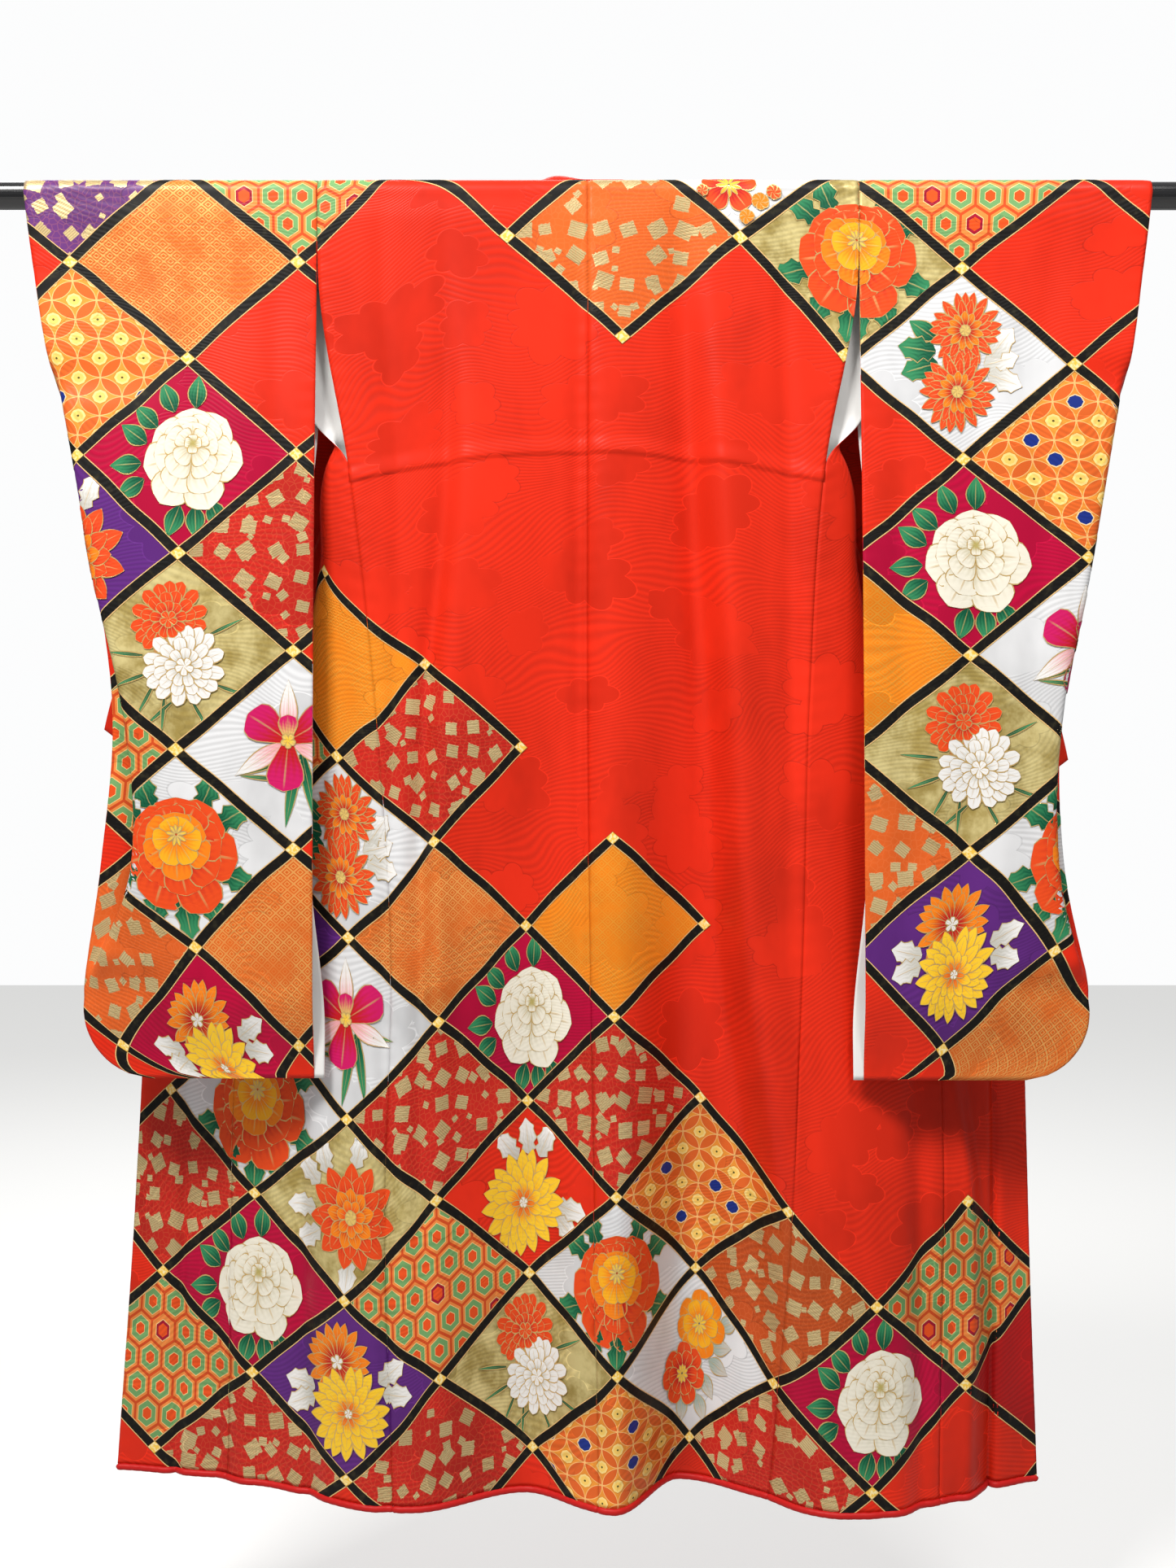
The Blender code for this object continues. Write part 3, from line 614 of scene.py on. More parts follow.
def write_map(made, name, corners):
    """Writes a map of a mesh: one place for each corner of each face, in the faces' order."""
    layer = made.data.uv_layers.new(name=name)
    layer.data.foreach_set("uv", np.ascontiguousarray(corners, np.float32).ravel())


# Where the outer face, the inner face and the rim lie in the map that bakes use: start and size
OUTER_SHEET = ((0.005, 0.005), (0.47, 0.99))
INNER_SHEET = ((0.525, 0.005), (0.47, 0.99))
RIM_SHEET = (0.485, 0.515)


def shell_object(name, piece, inside, low_inside, rim):
    """A closed thin shell of cloth: outer face, inner face and the rim that joins them.

    Each face of the outer grid takes the ground of the lattice cell that its middle lies in. The
    maps "cloth" and "lattice" give each corner its place on the flat cloth and in the lattice.
    """
    rows, columns = piece["share"].shape
    count = rows * columns
    index = np.arange(count).reshape(rows, columns)
    quads = np.stack([index[:-1, :-1], index[:-1, 1:], index[1:, 1:], index[1:, :-1]], -1).reshape(-1, 4)
    border = np.concatenate([index[0, :], index[1:, -1], index[-1, -2::-1], index[-2:0:-1, 0]])
    after = np.roll(border, -1)
    strip = np.stack([after, border, border + count, after + count], -1)
    if piece["outwards"] < 0:
        quads, strip = quads[:, ::-1], strip[:, ::-1]
    faces = np.concatenate([quads, quads[:, ::-1] + count, strip])
    u, v = piece["flat"](piece["share"], piece["height"])
    lattice = find_cells(piece, u, v)[1]
    u_middle, v_middle = ((grid[:-1, :-1] + grid[1:, 1:]) / 2 for grid in (u, v))
    grounds = find_cells(piece, u_middle, v_middle)[0].ravel().astype(str)
    used = sorted(set(grounds))
    slots = [GROUNDS[ground] for ground in used] + [inside, low_inside, rim]
    low = (piece["height"][1:, 1:] > BODY_LENGTH - HEM_LINING_HEIGHT).ravel()
    kinds = [np.searchsorted(used, grounds), len(used) + low, np.full(len(strip), len(used) + 2)]
    points = np.concatenate([piece["outer"].reshape(-1, 3), piece["inner"].reshape(-1, 3)])
    made = mesh_of(name, points, [faces], slots)
    made.data.polygons.foreach_set("material_index", np.concatenate(kinds).astype(np.int32))
    flat = np.stack([u, v], -1).reshape(-1, 2)
    write_map(made, "cloth", np.tile(flat, (2, 1))[faces])
    write_map(made, "lattice", np.tile(lattice.reshape(-1, 2), (2, 1))[faces])
    sheet = np.stack(np.meshgrid(np.linspace(0, 1, columns), np.linspace(0, 1, rows)), -1).reshape(-1, 2)
    along = np.linspace(0.0, 1.0, len(border) + 1)
    rim_map = np.stack([
        np.tile([RIM_SHEET[0], RIM_SHEET[0], RIM_SHEET[1], RIM_SHEET[1]], (len(border), 1)),
        np.stack([along[1:], along[:-1], along[:-1], along[1:]], -1),
    ], -1)
    if piece["outwards"] < 0:
        rim_map = rim_map[:, ::-1]
    outer_map = (sheet * OUTER_SHEET[1] + OUTER_SHEET[0])[quads]
    inner_map = (sheet * INNER_SHEET[1] + INNER_SHEET[0])[quads[:, ::-1]]
    write_map(made, "OFBake", np.concatenate([outer_map, inner_map, rim_map]))
    return made


# The figured weave of the silk: scalloped clouds with plain satin inside them and fine flowing
# contour lines between them. Satin and lines are painted lighter or darker into the colour: the
# lines in turn, and the satin and its edges by a painted sheen that flips in broad patches, as if
# the cloth leaned to the light.
LINE_SPACING = 0.0056
LINE_SLANT = 0.22
BROAD_BEND = (3.4, 0.20)
FINE_BEND = (9.0, 0.06)
CLOUD_STRETCH = 0.66
CLOUD_SATIN = 0.7
CLOUD_EDGE = 0.0011
CLOUD_SCATTER = 0.62
CLOUD_SOFTNESS = 0.0002
CLOUD_TURNS = 6.0
SCALLOP_ARCH = 0.26
SCALLOP_VALLEY = 0.76
CLOUD_UNEVENNESS = 0.16
CLOUD_NARROWING = 0.84
# Painted sheen: how many patches in a metre, and the lowest value and range of the sign that paints satin
# darker or lighter than its edge
SHEEN_PATCHES = 2.6
SHEEN_LOWEST = -0.8
SHEEN_RANGE = 1.7
EDGE_SUNK = 0.6
LINE_SHADE = 0.20
EDGE_SHADE = 0.34
SATIN_SHADE = 0.15

# Two layers of clouds: how many in a metre, half height, number of scallops, and share left out
CLOUD_LAYERS = ((8.2, 0.050, 8.0, 0.16), (10.5, 0.031, 6.0, 0.30))
FLAT_CELLS = {"voronoi_dimensions": "2D"}


def cloud_reach(cloth, layer):
    """How far a place lies inside the nearest cloud of a layer: the scalloped outline less the
    distance from its middle. The outline is a circle with an arch of a sine for each scallop."""
    crowding, half_height, scallops, left_out = layer
    place = cloth.vector_maths("ADD", (left_out, 3.0 * left_out, 0.0))
    scattered = {"Vector": place, "Scale": crowding, "Randomness": CLOUD_SCATTER}
    middle = place.step("ShaderNodeTexVoronoi", scattered, FLAT_CELLS, output=2)
    chance = place.step("ShaderNodeTexVoronoi", scattered, FLAT_CELLS, output=1)
    away = place.vector_maths("SUBTRACT", middle)
    around = away.part(1).maths("ARCTAN2", away.part(0))
    arch = (around * (scallops / 2) + chance.part(0) * CLOUD_TURNS).maths("SINE").maths("ABSOLUTE")
    oval = (around * 2.0 + chance.part(1) * CLOUD_TURNS).maths("SINE") * CLOUD_UNEVENNESS
    outline = (arch * SCALLOP_ARCH + SCALLOP_VALLEY) * (oval + CLOUD_NARROWING) * half_height
    return outline - away.length() - chance.part(2).under(left_out)


def figured_formula(cloth):
    """Relief and shade of the weave. The lines are a sine down the cloth, bent by noise; the
    clouds cut them out, with a sunk edge. A painted sheen in broad noise patches tells where the satin is
    painted darker than its edge, and where lighter."""
    bend = cloth.noise(BROAD_BEND[0], 1.0) * BROAD_BEND[1]
    bend = bend + cloth.noise(FINE_BEND[0], 0.0) * FINE_BEND[1]
    phase = (cloth.part(1) + cloth.part(0) * LINE_SLANT + bend) * (2 * math.pi / LINE_SPACING)
    lines = phase.maths("SINE") * 0.5 + 0.5
    wide = cloth.scaled(CLOUD_STRETCH, 1.0)
    large, small = (cloud_reach(wide, layer) for layer in CLOUD_LAYERS)
    inside = large.maths("MAXIMUM", small)
    cloud = inside.soft_step(-CLOUD_SOFTNESS, CLOUD_SOFTNESS)
    edge = (inside.maths("ABSOLUTE") * (1.0 / CLOUD_EDGE)).soft_step(1.0, 0.3)
    # Painted sheen: broad noise patches that paint the satin darker and its edge lighter, or the other way
    # round
    lean = cloth.noise(SHEEN_PATCHES, 1.0).soft_step(0.36, 0.62) * SHEEN_RANGE + SHEEN_LOWEST
    relief = lines * cloud.left() + cloud * CLOUD_SATIN - edge * EDGE_SUNK
    painted_sheen = (edge * EDGE_SHADE - cloud * SATIN_SHADE) * lean
    shade = (lines - 0.5) * cloud.left() * LINE_SHADE + painted_sheen + 1.0
    return relief, shade


figured_weave = effect(
    "figured weave", {"Cloth": "NodeSocketVector"},
    {"Relief": "NodeSocketFloat", "Shade": "NodeSocketFloat"}, figured_formula,
)


# Gold leaf cut into squares of two sizes and laid at all angles, one to each cell of two grids,
# with the hatching of the weave in it, over a ground with a fine crackle of paste lines.
CRACKLE = 135.0
HATCH_SPACING = 0.0026
LEAF_SHIFT = 0.26
LEAF_TURN = 1.5
LEAF_TALLER = 1.12
LEAF_RAGGED = (300.0, 0.10)
FLAT_NOISE = {"noise_dimensions": "2D"}
HALF_CELL = (0.5, 0.5, 0.0)

# The two grids of leaf: spacing, smallest half side of a square and how much larger it may be,
# both as shares of the spacing, and share of the squares left out
LARGE_LEAF = (0.0315, 0.23, 0.11, 0.16)
SMALL_LEAF = (0.0225, 0.15, 0.12, 0.60)


def leaf_layer(cloth, grid):
    """One square of leaf to each cell of a grid: its mask, and its tone with its hatching. A square
    is the part whose larger distance from its middle, along or across, is under its half side."""
    spacing, smallest, growth, absent = grid
    ragged = (cloth.noise(LEAF_RAGGED[0], 1.0) - 0.5) * LEAF_RAGGED[1]
    place = cloth.scaled(1.0 / spacing, 1.0 / spacing).vector_maths("ADD", ragged)
    cell = place.vector_maths("FLOOR")
    chance = cell.step("ShaderNodeTexWhiteNoise", {"Vector": cell}, FLAT_NOISE, output=1)
    shift = chance.vector_maths("SUBTRACT", HALF_CELL).vector_maths("MULTIPLY", (LEAF_SHIFT, LEAF_SHIFT, 0.0))
    inside = place.vector_maths("FRACTION").vector_maths("SUBTRACT", HALF_CELL)
    inside = inside.vector_maths("SUBTRACT", shift)
    angle = (chance.part(2) - 0.5) * LEAF_TURN
    about = {"rotation_type": "Z_AXIS"}
    turned = inside.step("ShaderNodeVectorRotate", {"Vector": inside, "Angle": angle}, about)
    across, along = turned.part(0).maths("ABSOLUTE"), turned.part(1).maths("ABSOLUTE")
    size = chance.part(0) * growth + smallest
    hatching = (turned.part(1) * (2 * math.pi * spacing / HATCH_SPACING)).maths("SINE").soft_step(-0.9, 0.1)
    mask = (size - across.maths("MAXIMUM", along * LEAF_TALLER)).soft_step(-0.008, 0.008)
    return mask * chance.part(1).over(absent), hatching * 0.6 + chance.part(1) * 0.4


def leaf_formula(cloth):
    """Both layers of leaf, worn by fine noise, and the cracks between the nearest cell centres."""
    large, large_tone = leaf_layer(cloth, LARGE_LEAF)
    small, small_tone = leaf_layer(cloth, SMALL_LEAF)
    worn = cloth.noise(520.0, 2.0).soft_step(0.30, 0.52)
    cells = {"voronoi_dimensions": "2D", "feature": "DISTANCE_TO_EDGE"}
    from_edge = cloth.step("ShaderNodeTexVoronoi", {"Vector": cloth, "Scale": CRACKLE}, cells)
    crack = from_edge.soft_step(0.10, 0.03)
    tone = small_tone * large.left() + large_tone * large
    return large.maths("MAXIMUM", small) * (worn * 0.25 + 0.75), tone, crack


leaf_squares = effect(
    "gold leaf squares", {"Cloth": "NodeSocketVector"},
    {"Mask": "NodeSocketFloat", "Tone": "NodeSocketFloat", "Crackle": "NodeSocketFloat"}, leaf_formula,
)


# Tortoiseshell: hexagons in rings of orange, cream and green, a little taller than wide. The
# nearest of two sets of centres gives the place inside a hexagon, 0 in the middle and 1 at its edge.
HEXAGON_WIDTH = 0.0345
HEXAGON_STRETCH = 1.12
HEXAGON_ROW = math.sqrt(3.0)


# Inks of the rings
CREAM = (0.90, 0.62, 0.26)
RING_ORANGE = (0.82, 0.25, 0.055)
RUST = (0.62, 0.075, 0.016)
RING_GREEN = (0.17, 0.36, 0.13)
RING_RED = (0.80, 0.085, 0.014)
WINE = (0.36, 0.008, 0.03)
WINE_SHARE = 0.13


def hexagon_formula(cloth):
    """The colour of the ring that a place lies in. Its reach is the distance from the nearest
    centre, measured square to the hexagon's sides."""
    place = cloth.scaled(1.0 / HEXAGON_WIDTH, 1.0 / (HEXAGON_WIDTH * HEXAGON_STRETCH))
    step = (1.0, HEXAGON_ROW, 1.0)
    centres = []
    for shift in ((0.0, 0.0, 0.0), (0.5, HEXAGON_ROW / 2, 0.0)):
        moved = place.vector_maths("ADD", shift)
        number = moved.vector_maths("DIVIDE", step).vector_maths("FLOOR")
        middle = number.vector_maths("ADD", HALF_CELL).vector_maths("MULTIPLY", step)
        away = moved.vector_maths("SUBTRACT", middle).vector_maths("MULTIPLY", (1.0, 1.0, 0.0))
        centres.append((away, number, away.length()))
    first, second = centres
    nearer = second[2].under(first[2])
    away = first[0].towards(second[0], nearer, "VECTOR")
    number = first[1].towards(second[1].vector_maths("ADD", (0.3, 0.7, 0.0)), nearer, "VECTOR")
    x, y = away.part(0).maths("ABSOLUTE"), away.part(1).maths("ABSOLUTE")
    reach = x.maths("MAXIMUM", x * 0.5 + y * (HEXAGON_ROW / 2)) * 2.0
    chance = number.step("ShaderNodeTexWhiteNoise", {"Vector": number}, FLAT_NOISE)
    rings = reach.banded((
        (0.0, RING_RED), (0.34, CREAM), (0.38, RING_GREEN), (0.71, CREAM), (0.75, RING_ORANGE), (0.91, RUST),
    ))
    special = reach.banded((
        (0.0, RING_RED), (0.38, WINE), (0.56, CREAM), (0.61, RING_ORANGE), (0.91, RUST),
    ))
    return rings.towards(special, chance.under(WINE_SHARE))


hexagons = effect(
    "tortoiseshell", {"Place": "NodeSocketVector"}, {"Colour": "NodeSocketColor"}, hexagon_formula
)


# Linked circles, drawn in line with the lattice: circles whose overlaps make orange petals round
# yellow flowers, and here and there a blue diamond. Five circles fit along the side of a cell.
CIRCLES_PER_SIDE = 5.0
CIRCLE_RADIUS = math.sqrt(0.5)


BLUE_SHARE = 0.22
PETAL_ORANGE = (0.72, 0.13, 0.022)
CIRCLE_LINE = (0.90, 0.50, 0.18)
GROUND_ORANGE = (0.80, 0.26, 0.035)


def circle_formula(lattice):
    """Petals where two circles overlap, and a flower or a blue diamond in the middle of the rest.
    The diamond's reach adds a share of the smaller distance to the larger one."""
    place = lattice.scaled(CIRCLES_PER_SIDE, CIRCLES_PER_SIDE).vector_maths("ADD", HALF_CELL)
    number = place.vector_maths("FLOOR")
    away = place.vector_maths("FRACTION").vector_maths("SUBTRACT", HALF_CELL).vector_maths("ABSOLUTE")
    across = away.vector_maths("DISTANCE", (1.0, 0.0, 0.0), output=1)
    along = away.vector_maths("DISTANCE", (0.0, 1.0, 0.0), output=1)
    nearest = across.maths("MINIMUM", along)
    x, y = away.part(0), away.part(1)
    blocky = x.maths("MAXIMUM", y) + x.maths("MINIMUM", y) * 0.35
    chance = number.step("ShaderNodeTexWhiteNoise", {"Vector": number}, FLAT_NOISE)
    petal = nearest.banded((
        (0.0, PETAL_ORANGE), (CIRCLE_RADIUS - 0.03, CIRCLE_LINE), (CIRCLE_RADIUS, GROUND_ORANGE),
    ))
    flower = blocky.banded((
        (0.0, (0.10, 0.09, 0.02)), (0.04, (0.92, 0.60, 0.14)), (0.17, (0.93, 0.68, 0.24)),
        (0.25, (0.66, 0.22, 0.02)), (0.27, (0.82, 0.30, 0.04)),
    ))
    blue = blocky.banded(((0.0, (0.012, 0.030, 0.22)), (0.24, (0.88, 0.66, 0.36)), (0.28, GROUND_ORANGE)))
    inside = flower.towards(blue, chance.under(BLUE_SHARE))
    return petal.towards(inside, nearest.over(CIRCLE_RADIUS))


linked_circles = effect(
    "linked circles", {"Place": "NodeSocketVector"}, {"Colour": "NodeSocketColor"}, circle_formula
)


# Fine gold lattice: thin lines and small squares of gold laid over a ground, worn off in places
FINE_PER_SIDE = 17.0


def fine_gold_formula(lattice, cloth):
    """Lines along the cells' edges and a square ring inside each, less where noise wears them."""
    place = lattice.scaled(FINE_PER_SIDE, FINE_PER_SIDE).vector_maths("FRACTION")
    away = place.vector_maths("SUBTRACT", HALF_CELL).vector_maths("ABSOLUTE")
    reach = away.part(0).maths("MAXIMUM", away.part(1))
    line = reach.soft_step(0.38, 0.44)
    ring = (reach - 0.21).maths("ABSOLUTE").soft_step(0.08, 0.03)
    worn = cloth.noise(26.0, 3.0).soft_step(0.30, 0.62) * 0.75 + 0.25
    return line.maths("MAXIMUM", ring) * worn


fine_gold = effect(
    "fine gold lattice", {"Lattice": "NodeSocketVector", "Cloth": "NodeSocketVector"},
    {"Mask": "NodeSocketFloat"}, fine_gold_formula,
)

GOLD = (0.60, 0.42, 0.17, 1.0)
DULL_LEAF = (0.36, 0.25, 0.10)
BRIGHT_LEAF = (0.66, 0.52, 0.26, 1.0)
PASTE_LINE = (0.86, 0.28, 0.10, 1.0)
CRACKLE_SHARE = 0.12
LINE_GOLD = 0.75
GILT_METALLIC = 0.30
GILT_HEIGHT = 0.8
# Painted sheen: how dark the satin's darker patches are painted, and how much of that is mixed in
SHEEN_MOTTLE_DARKER = 0.66
SHEEN_MOTTLE_SHARE = 0.60
SILK_SPECULAR = 0.15
RELIEF_GLOSS = -0.10
SILK_BUMP = (0.22, 0.0005)


def silk(name, ground, pattern=None, leaf=False, lines=False, mottle=0.0, tint=GOLD, roughness=0.42):
    """Dyed figured silk: a ground colour or a drawn pattern, gold on it, the woven relief, and painted sheen:
    darker patches and the weave's shade painted into the colour.
    """
    made, tree, shader = material_tree(name)
    cloth, lattice = read_map(tree, "cloth"), read_map(tree, "lattice")
    weave = use(tree, figured_weave, {"Cloth": cloth})
    colour = dye(tree, ground)
    if pattern:
        group, place = pattern
        colour = use(tree, group, {"Place": read_map(tree, place)})["Colour"]
    # Painted sheen: broad patches where the satin is painted darker into the colour, in place of the way it
    # catches the light
    darker_patches = cloth.scaled(1.0, 0.6).noise(6.0, 4.0, 0.62).soft_step(0.42, 0.68)
    sheen_shaded = colour.step("ShaderNodeHueSaturation", {"Value": SHEEN_MOTTLE_DARKER, "Color": colour})
    colour = colour.towards(sheen_shaded, darker_patches * SHEEN_MOTTLE_SHARE)
    gilt = None
    if leaf:
        squares = use(tree, leaf_squares, {"Cloth": cloth})
        colour = colour.towards(PASTE_LINE, squares["Crackle"] * CRACKLE_SHARE)
        tint = dye(tree, DULL_LEAF).towards(BRIGHT_LEAF, squares["Tone"])
        gilt = squares["Mask"]
    if lines:
        gilt = use(tree, fine_gold, {"Lattice": lattice, "Cloth": cloth})["Mask"] * LINE_GOLD
    if mottle:
        gilt = cloth.noise(22.0, 4.0, 0.65).soft_step(0.34, 0.66) * mottle
    height = weave["Relief"]
    if gilt is not None:
        colour = colour.towards(tint, gilt)
        height = height + gilt * GILT_HEIGHT
        (gilt * GILT_METALLIC).into(shader, "Metallic")
    shaded = {0: colour, "Scale": weave["Shade"]}
    colour.step("ShaderNodeVectorMath", shaded, {"operation": "SCALE"}).into(shader, "Base Color")
    (weave["Relief"] * RELIEF_GLOSS + roughness).into(shader, "Roughness")
    shader.inputs["Specular IOR Level"].default_value = SILK_SPECULAR
    join_bump(shader, height, *SILK_BUMP)
    return made


SCARLET = (0.74, 0.026, 0.008)
FINE_GOLD_TINT = (0.80, 0.42, 0.12, 1.0)
AMBER_TINT = (0.82, 0.34, 0.04, 1.0)
MOTTLED_TINT = (0.74, 0.62, 0.28, 1.0)
GROUNDS = {
    "scarlet": silk("scarlet figured silk", SCARLET),
    "crimson": silk("crimson figured silk", (0.46, 0.010, 0.010)),
    "hexagons": silk("tortoiseshell silk", SCARLET, pattern=(hexagons, "cloth")),
    "circles": silk("linked circle silk", SCARLET, pattern=(linked_circles, "lattice")),
    "leaf on red": silk("gold leaf on red silk", (0.56, 0.022, 0.014), leaf=True),
    "leaf on orange": silk("gold leaf on orange silk", (0.72, 0.12, 0.020), leaf=True),
    "leaf on brown": silk("gold leaf on rust silk", (0.50, 0.075, 0.014), leaf=True),
    "leaf on purple": silk("gold leaf on purple silk", (0.13, 0.035, 0.17), leaf=True),
    "fine gold": silk("fine gold lattice silk", (0.70, 0.13, 0.016), lines=True, tint=FINE_GOLD_TINT),
    "amber": silk("amber silk", (0.84, 0.22, 0.010), lines=True, tint=AMBER_TINT),
    "white": silk("white figured silk", (0.72, 0.72, 0.73), roughness=0.36),
    "magenta": silk("magenta silk", (0.46, 0.003, 0.040)),
    "purple": silk("purple silk", (0.11, 0.022, 0.19)),
    "gold": silk("mottled gold leaf silk", (0.34, 0.25, 0.07), mottle=0.95, tint=MOTTLED_TINT),
}

THREADS = 5200.0
DARKER_PATCH_VALUE = 0.95
THREAD_BUMP = (0.10, 0.0002)


def plain_silk(name, colour, roughness):
    """Plain woven silk: a sine for the threads each way as bump, and faint darker patches."""
    made, tree, shader = material_tree(name)
    cloth = read_map(tree, "cloth")
    threads = (cloth.part(0) * THREADS).maths("SINE") * (cloth.part(1) * THREADS).maths("SINE")
    base = dye(tree, colour)
    darker = base.step("ShaderNodeHueSaturation", {"Value": DARKER_PATCH_VALUE, "Color": base})
    darker_patches = cloth.noise(14.0, 2.0).soft_step(0.40, 0.70)
    base.towards(darker, darker_patches).into(shader, "Base Color")
    shader.inputs["Roughness"].default_value = roughness
    shader.inputs["Specular IOR Level"].default_value = SILK_SPECULAR
    join_bump(shader, threads, *THREAD_BUMP)
    return made


white_lining = plain_silk("white lining silk", (0.80, 0.79, 0.77), 0.40)
red_lining = plain_silk("red hem lining silk", (0.50, 0.014, 0.014), 0.45)
hem_silk = plain_silk("padded hem silk", (0.52, 0.014, 0.013), 0.42)

# Each finished piece of cloth, by name, for the bars and flowers that lie on it
PIECES = {}


def finish_cloth(made, nodes, flat, **more):
    """Hangs a finished piece of cloth from the root body and hides the CAD parts named by its nodes. Its flat
    size and any further values are not used.
    """
    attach(made, "root")
    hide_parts(*nodes)


# How far the drawn lattice lies below its even rows, by distance from the centre seam: at the two
# shoulders, and further down, in millimetres
SHOULDER_PLACES = (0, 95, 177, 245, 320)
SHOULDER_SHIFT = {-1: (-5, -5, -2, 36, 48), 1: (-5, -5, -3, 6, 18)}
SHIFT_STARTS = (0.24, 0.44)
SHIFT_PLACES = (0, 140, 220, 320, 450, 600, 760)
LATTICE_SHIFT = (-20, -20, -17, -3, 4, 4, 2)
SHIFT_ROUNDS = 4


def lattice_shift(side, u, v, turned):
    """The shift at a place. Past the shoulder line it is that of the mirrored place, turned over."""
    away = np.abs(u) * 1000.0
    from_centre = 2000.0 * BACK_WIDTH - away if turned else away
    at_top = millimetres(SHOULDER_PLACES, SHOULDER_SHIFT[side], from_centre)
    lower = millimetres(SHIFT_PLACES, LATTICE_SHIFT, away)
    return mix(-at_top if turned else at_top, lower, ramp_between(SHIFT_STARTS, v))


def place_on_lattice(side, u, height, turned):
    """A place of the flat cloth from its height: the height less the shift, found in a few rounds."""
    v = height
    for step in range(SHIFT_ROUNDS):
        v = height - lattice_shift(side, u, v, turned)
    return u + 0.0 * v, v


def back_piece(side):
    """One length of the back, draped. Its flat place is measured from the centre seam."""
    return drape({
        "side": side,
        "surface": lambda share, height: back_surface(side, share, height),
        "columns": even(0.0, 1.0, MESH_STEP / BACK_WIDTH),
        "rows": body_rows(0.0),
        "span": lambda height: (0.0 * height, 1.0 + 0.0 * height),
        "outwards": -side,
        "flat": lambda share, height: place_on_lattice(side, side * share * BACK_WIDTH, height, False),
        "unflat": lambda u, v: (side * u / BACK_WIDTH, v + lattice_shift(side, u, v, False)),
        "bounds": (0.0, BACK_WIDTH),
        "regions": (
            (UPPER_BACK, -1.0, UPPER_REGION_ENDS, False),
            (LOWER_BODY, UPPER_REGION_ENDS, 2.0, False),
        ),
    })


for side, word in ((-1, "left"), (1, "right")):
    piece = PIECES[f"back_{word}"] = back_piece(side)
    made = shell_object(f"silk_back_{word}", piece, white_lining, red_lining, GROUNDS[PLAIN])
    finish_cloth(made, [f"back_{word}"], (BACK_WIDTH, BODY_LENGTH))


# The fronts: two more lengths of the same silk, spread out sideways behind the sleeves. Near the
# shoulder each one loops behind the back, and there its white lining shows through the armhole.

FRONT_WIDTH = 0.235
OVERLAP_WIDTH = 0.155
OVERLAP_START = 0.270
COLLAR_END = 0.760

# The side edge's depth, and how far the cloth loops and doubles back, at each of FRONT_HEIGHTS
FRONT_HEIGHTS = (0.03, 0.12, 0.20, 0.28, 0.36, 0.50, 0.70, 0.95, 1.58)
SIDE_EDGE_DEPTH = (19, 16, -3, -10, -20, -24, -28, -34, -44)
LOOP = (0, 10, 80, 92, 60, 42, 14, 0, 0)
DOUBLE_BACK = (0, 0, 0, 24, 52, 42, 15, 0, 0)
SIDE_SEAM_START = (0.31, 0.36)
SHEET_START = (0.62, 0.92)
TONGUE_ROUNDING = 0.25

# The collar's seam and the front edge, as points in metres at each of EDGE_HEIGHTS
EDGE_HEIGHTS = (0.03, 0.15, 0.30, 0.45, 0.60, 0.76, 1.00, 1.25, 1.58)
LEFT_EDGE = (
    (-0.085, 0.0190, 0.000),
    (-0.172, 0.0440, -0.100),
    (-0.290, 0.0480, -0.203),
    (-0.395, 0.0480, -0.318),
    (-0.480, 0.0480, -0.470),
    (-0.546, 0.0480, -0.668),
    (-0.540, 0.0465, -0.930),
    (-0.553, 0.0520, -1.200),
    (-0.578, 0.0600, -1.544),
)
RIGHT_EDGE = (
    (0.085, 0.0190, 0.000),
    (0.172, 0.0440, -0.105),
    (0.290, 0.0480, -0.215),
    (0.395, 0.0460, -0.335),
    (0.478, 0.0460, -0.500),
    (0.541, 0.0460, -0.705),
    (0.531, 0.0420, -0.950),
    (0.535, 0.0400, -1.210),
    (0.546, 0.0400, -1.550),
)
ARMHOLE_REACH = 0.036
ARMHOLE_OPENS = (0.115, 0.185)
ARMHOLE_CLOSES = (0.290, 0.352)
TOP_PATTERN_ENDS = 0.16


def front_width(height):
    """Width of the flat front with its overlap, from the side seam to the collar or front edge."""
    opened = np.clip((height - OVERLAP_START) / (COLLAR_END - OVERLAP_START), 0.0, 1.0)
    return FRONT_WIDTH + OVERLAP_WIDTH * opened


def edge_line(table, height):
    """A point of the collar's seam or of the front edge, at a flat height."""
    return np.stack([track(EDGE_HEIGHTS, [row[k] for row in table], height) for k in range(3)], -1)


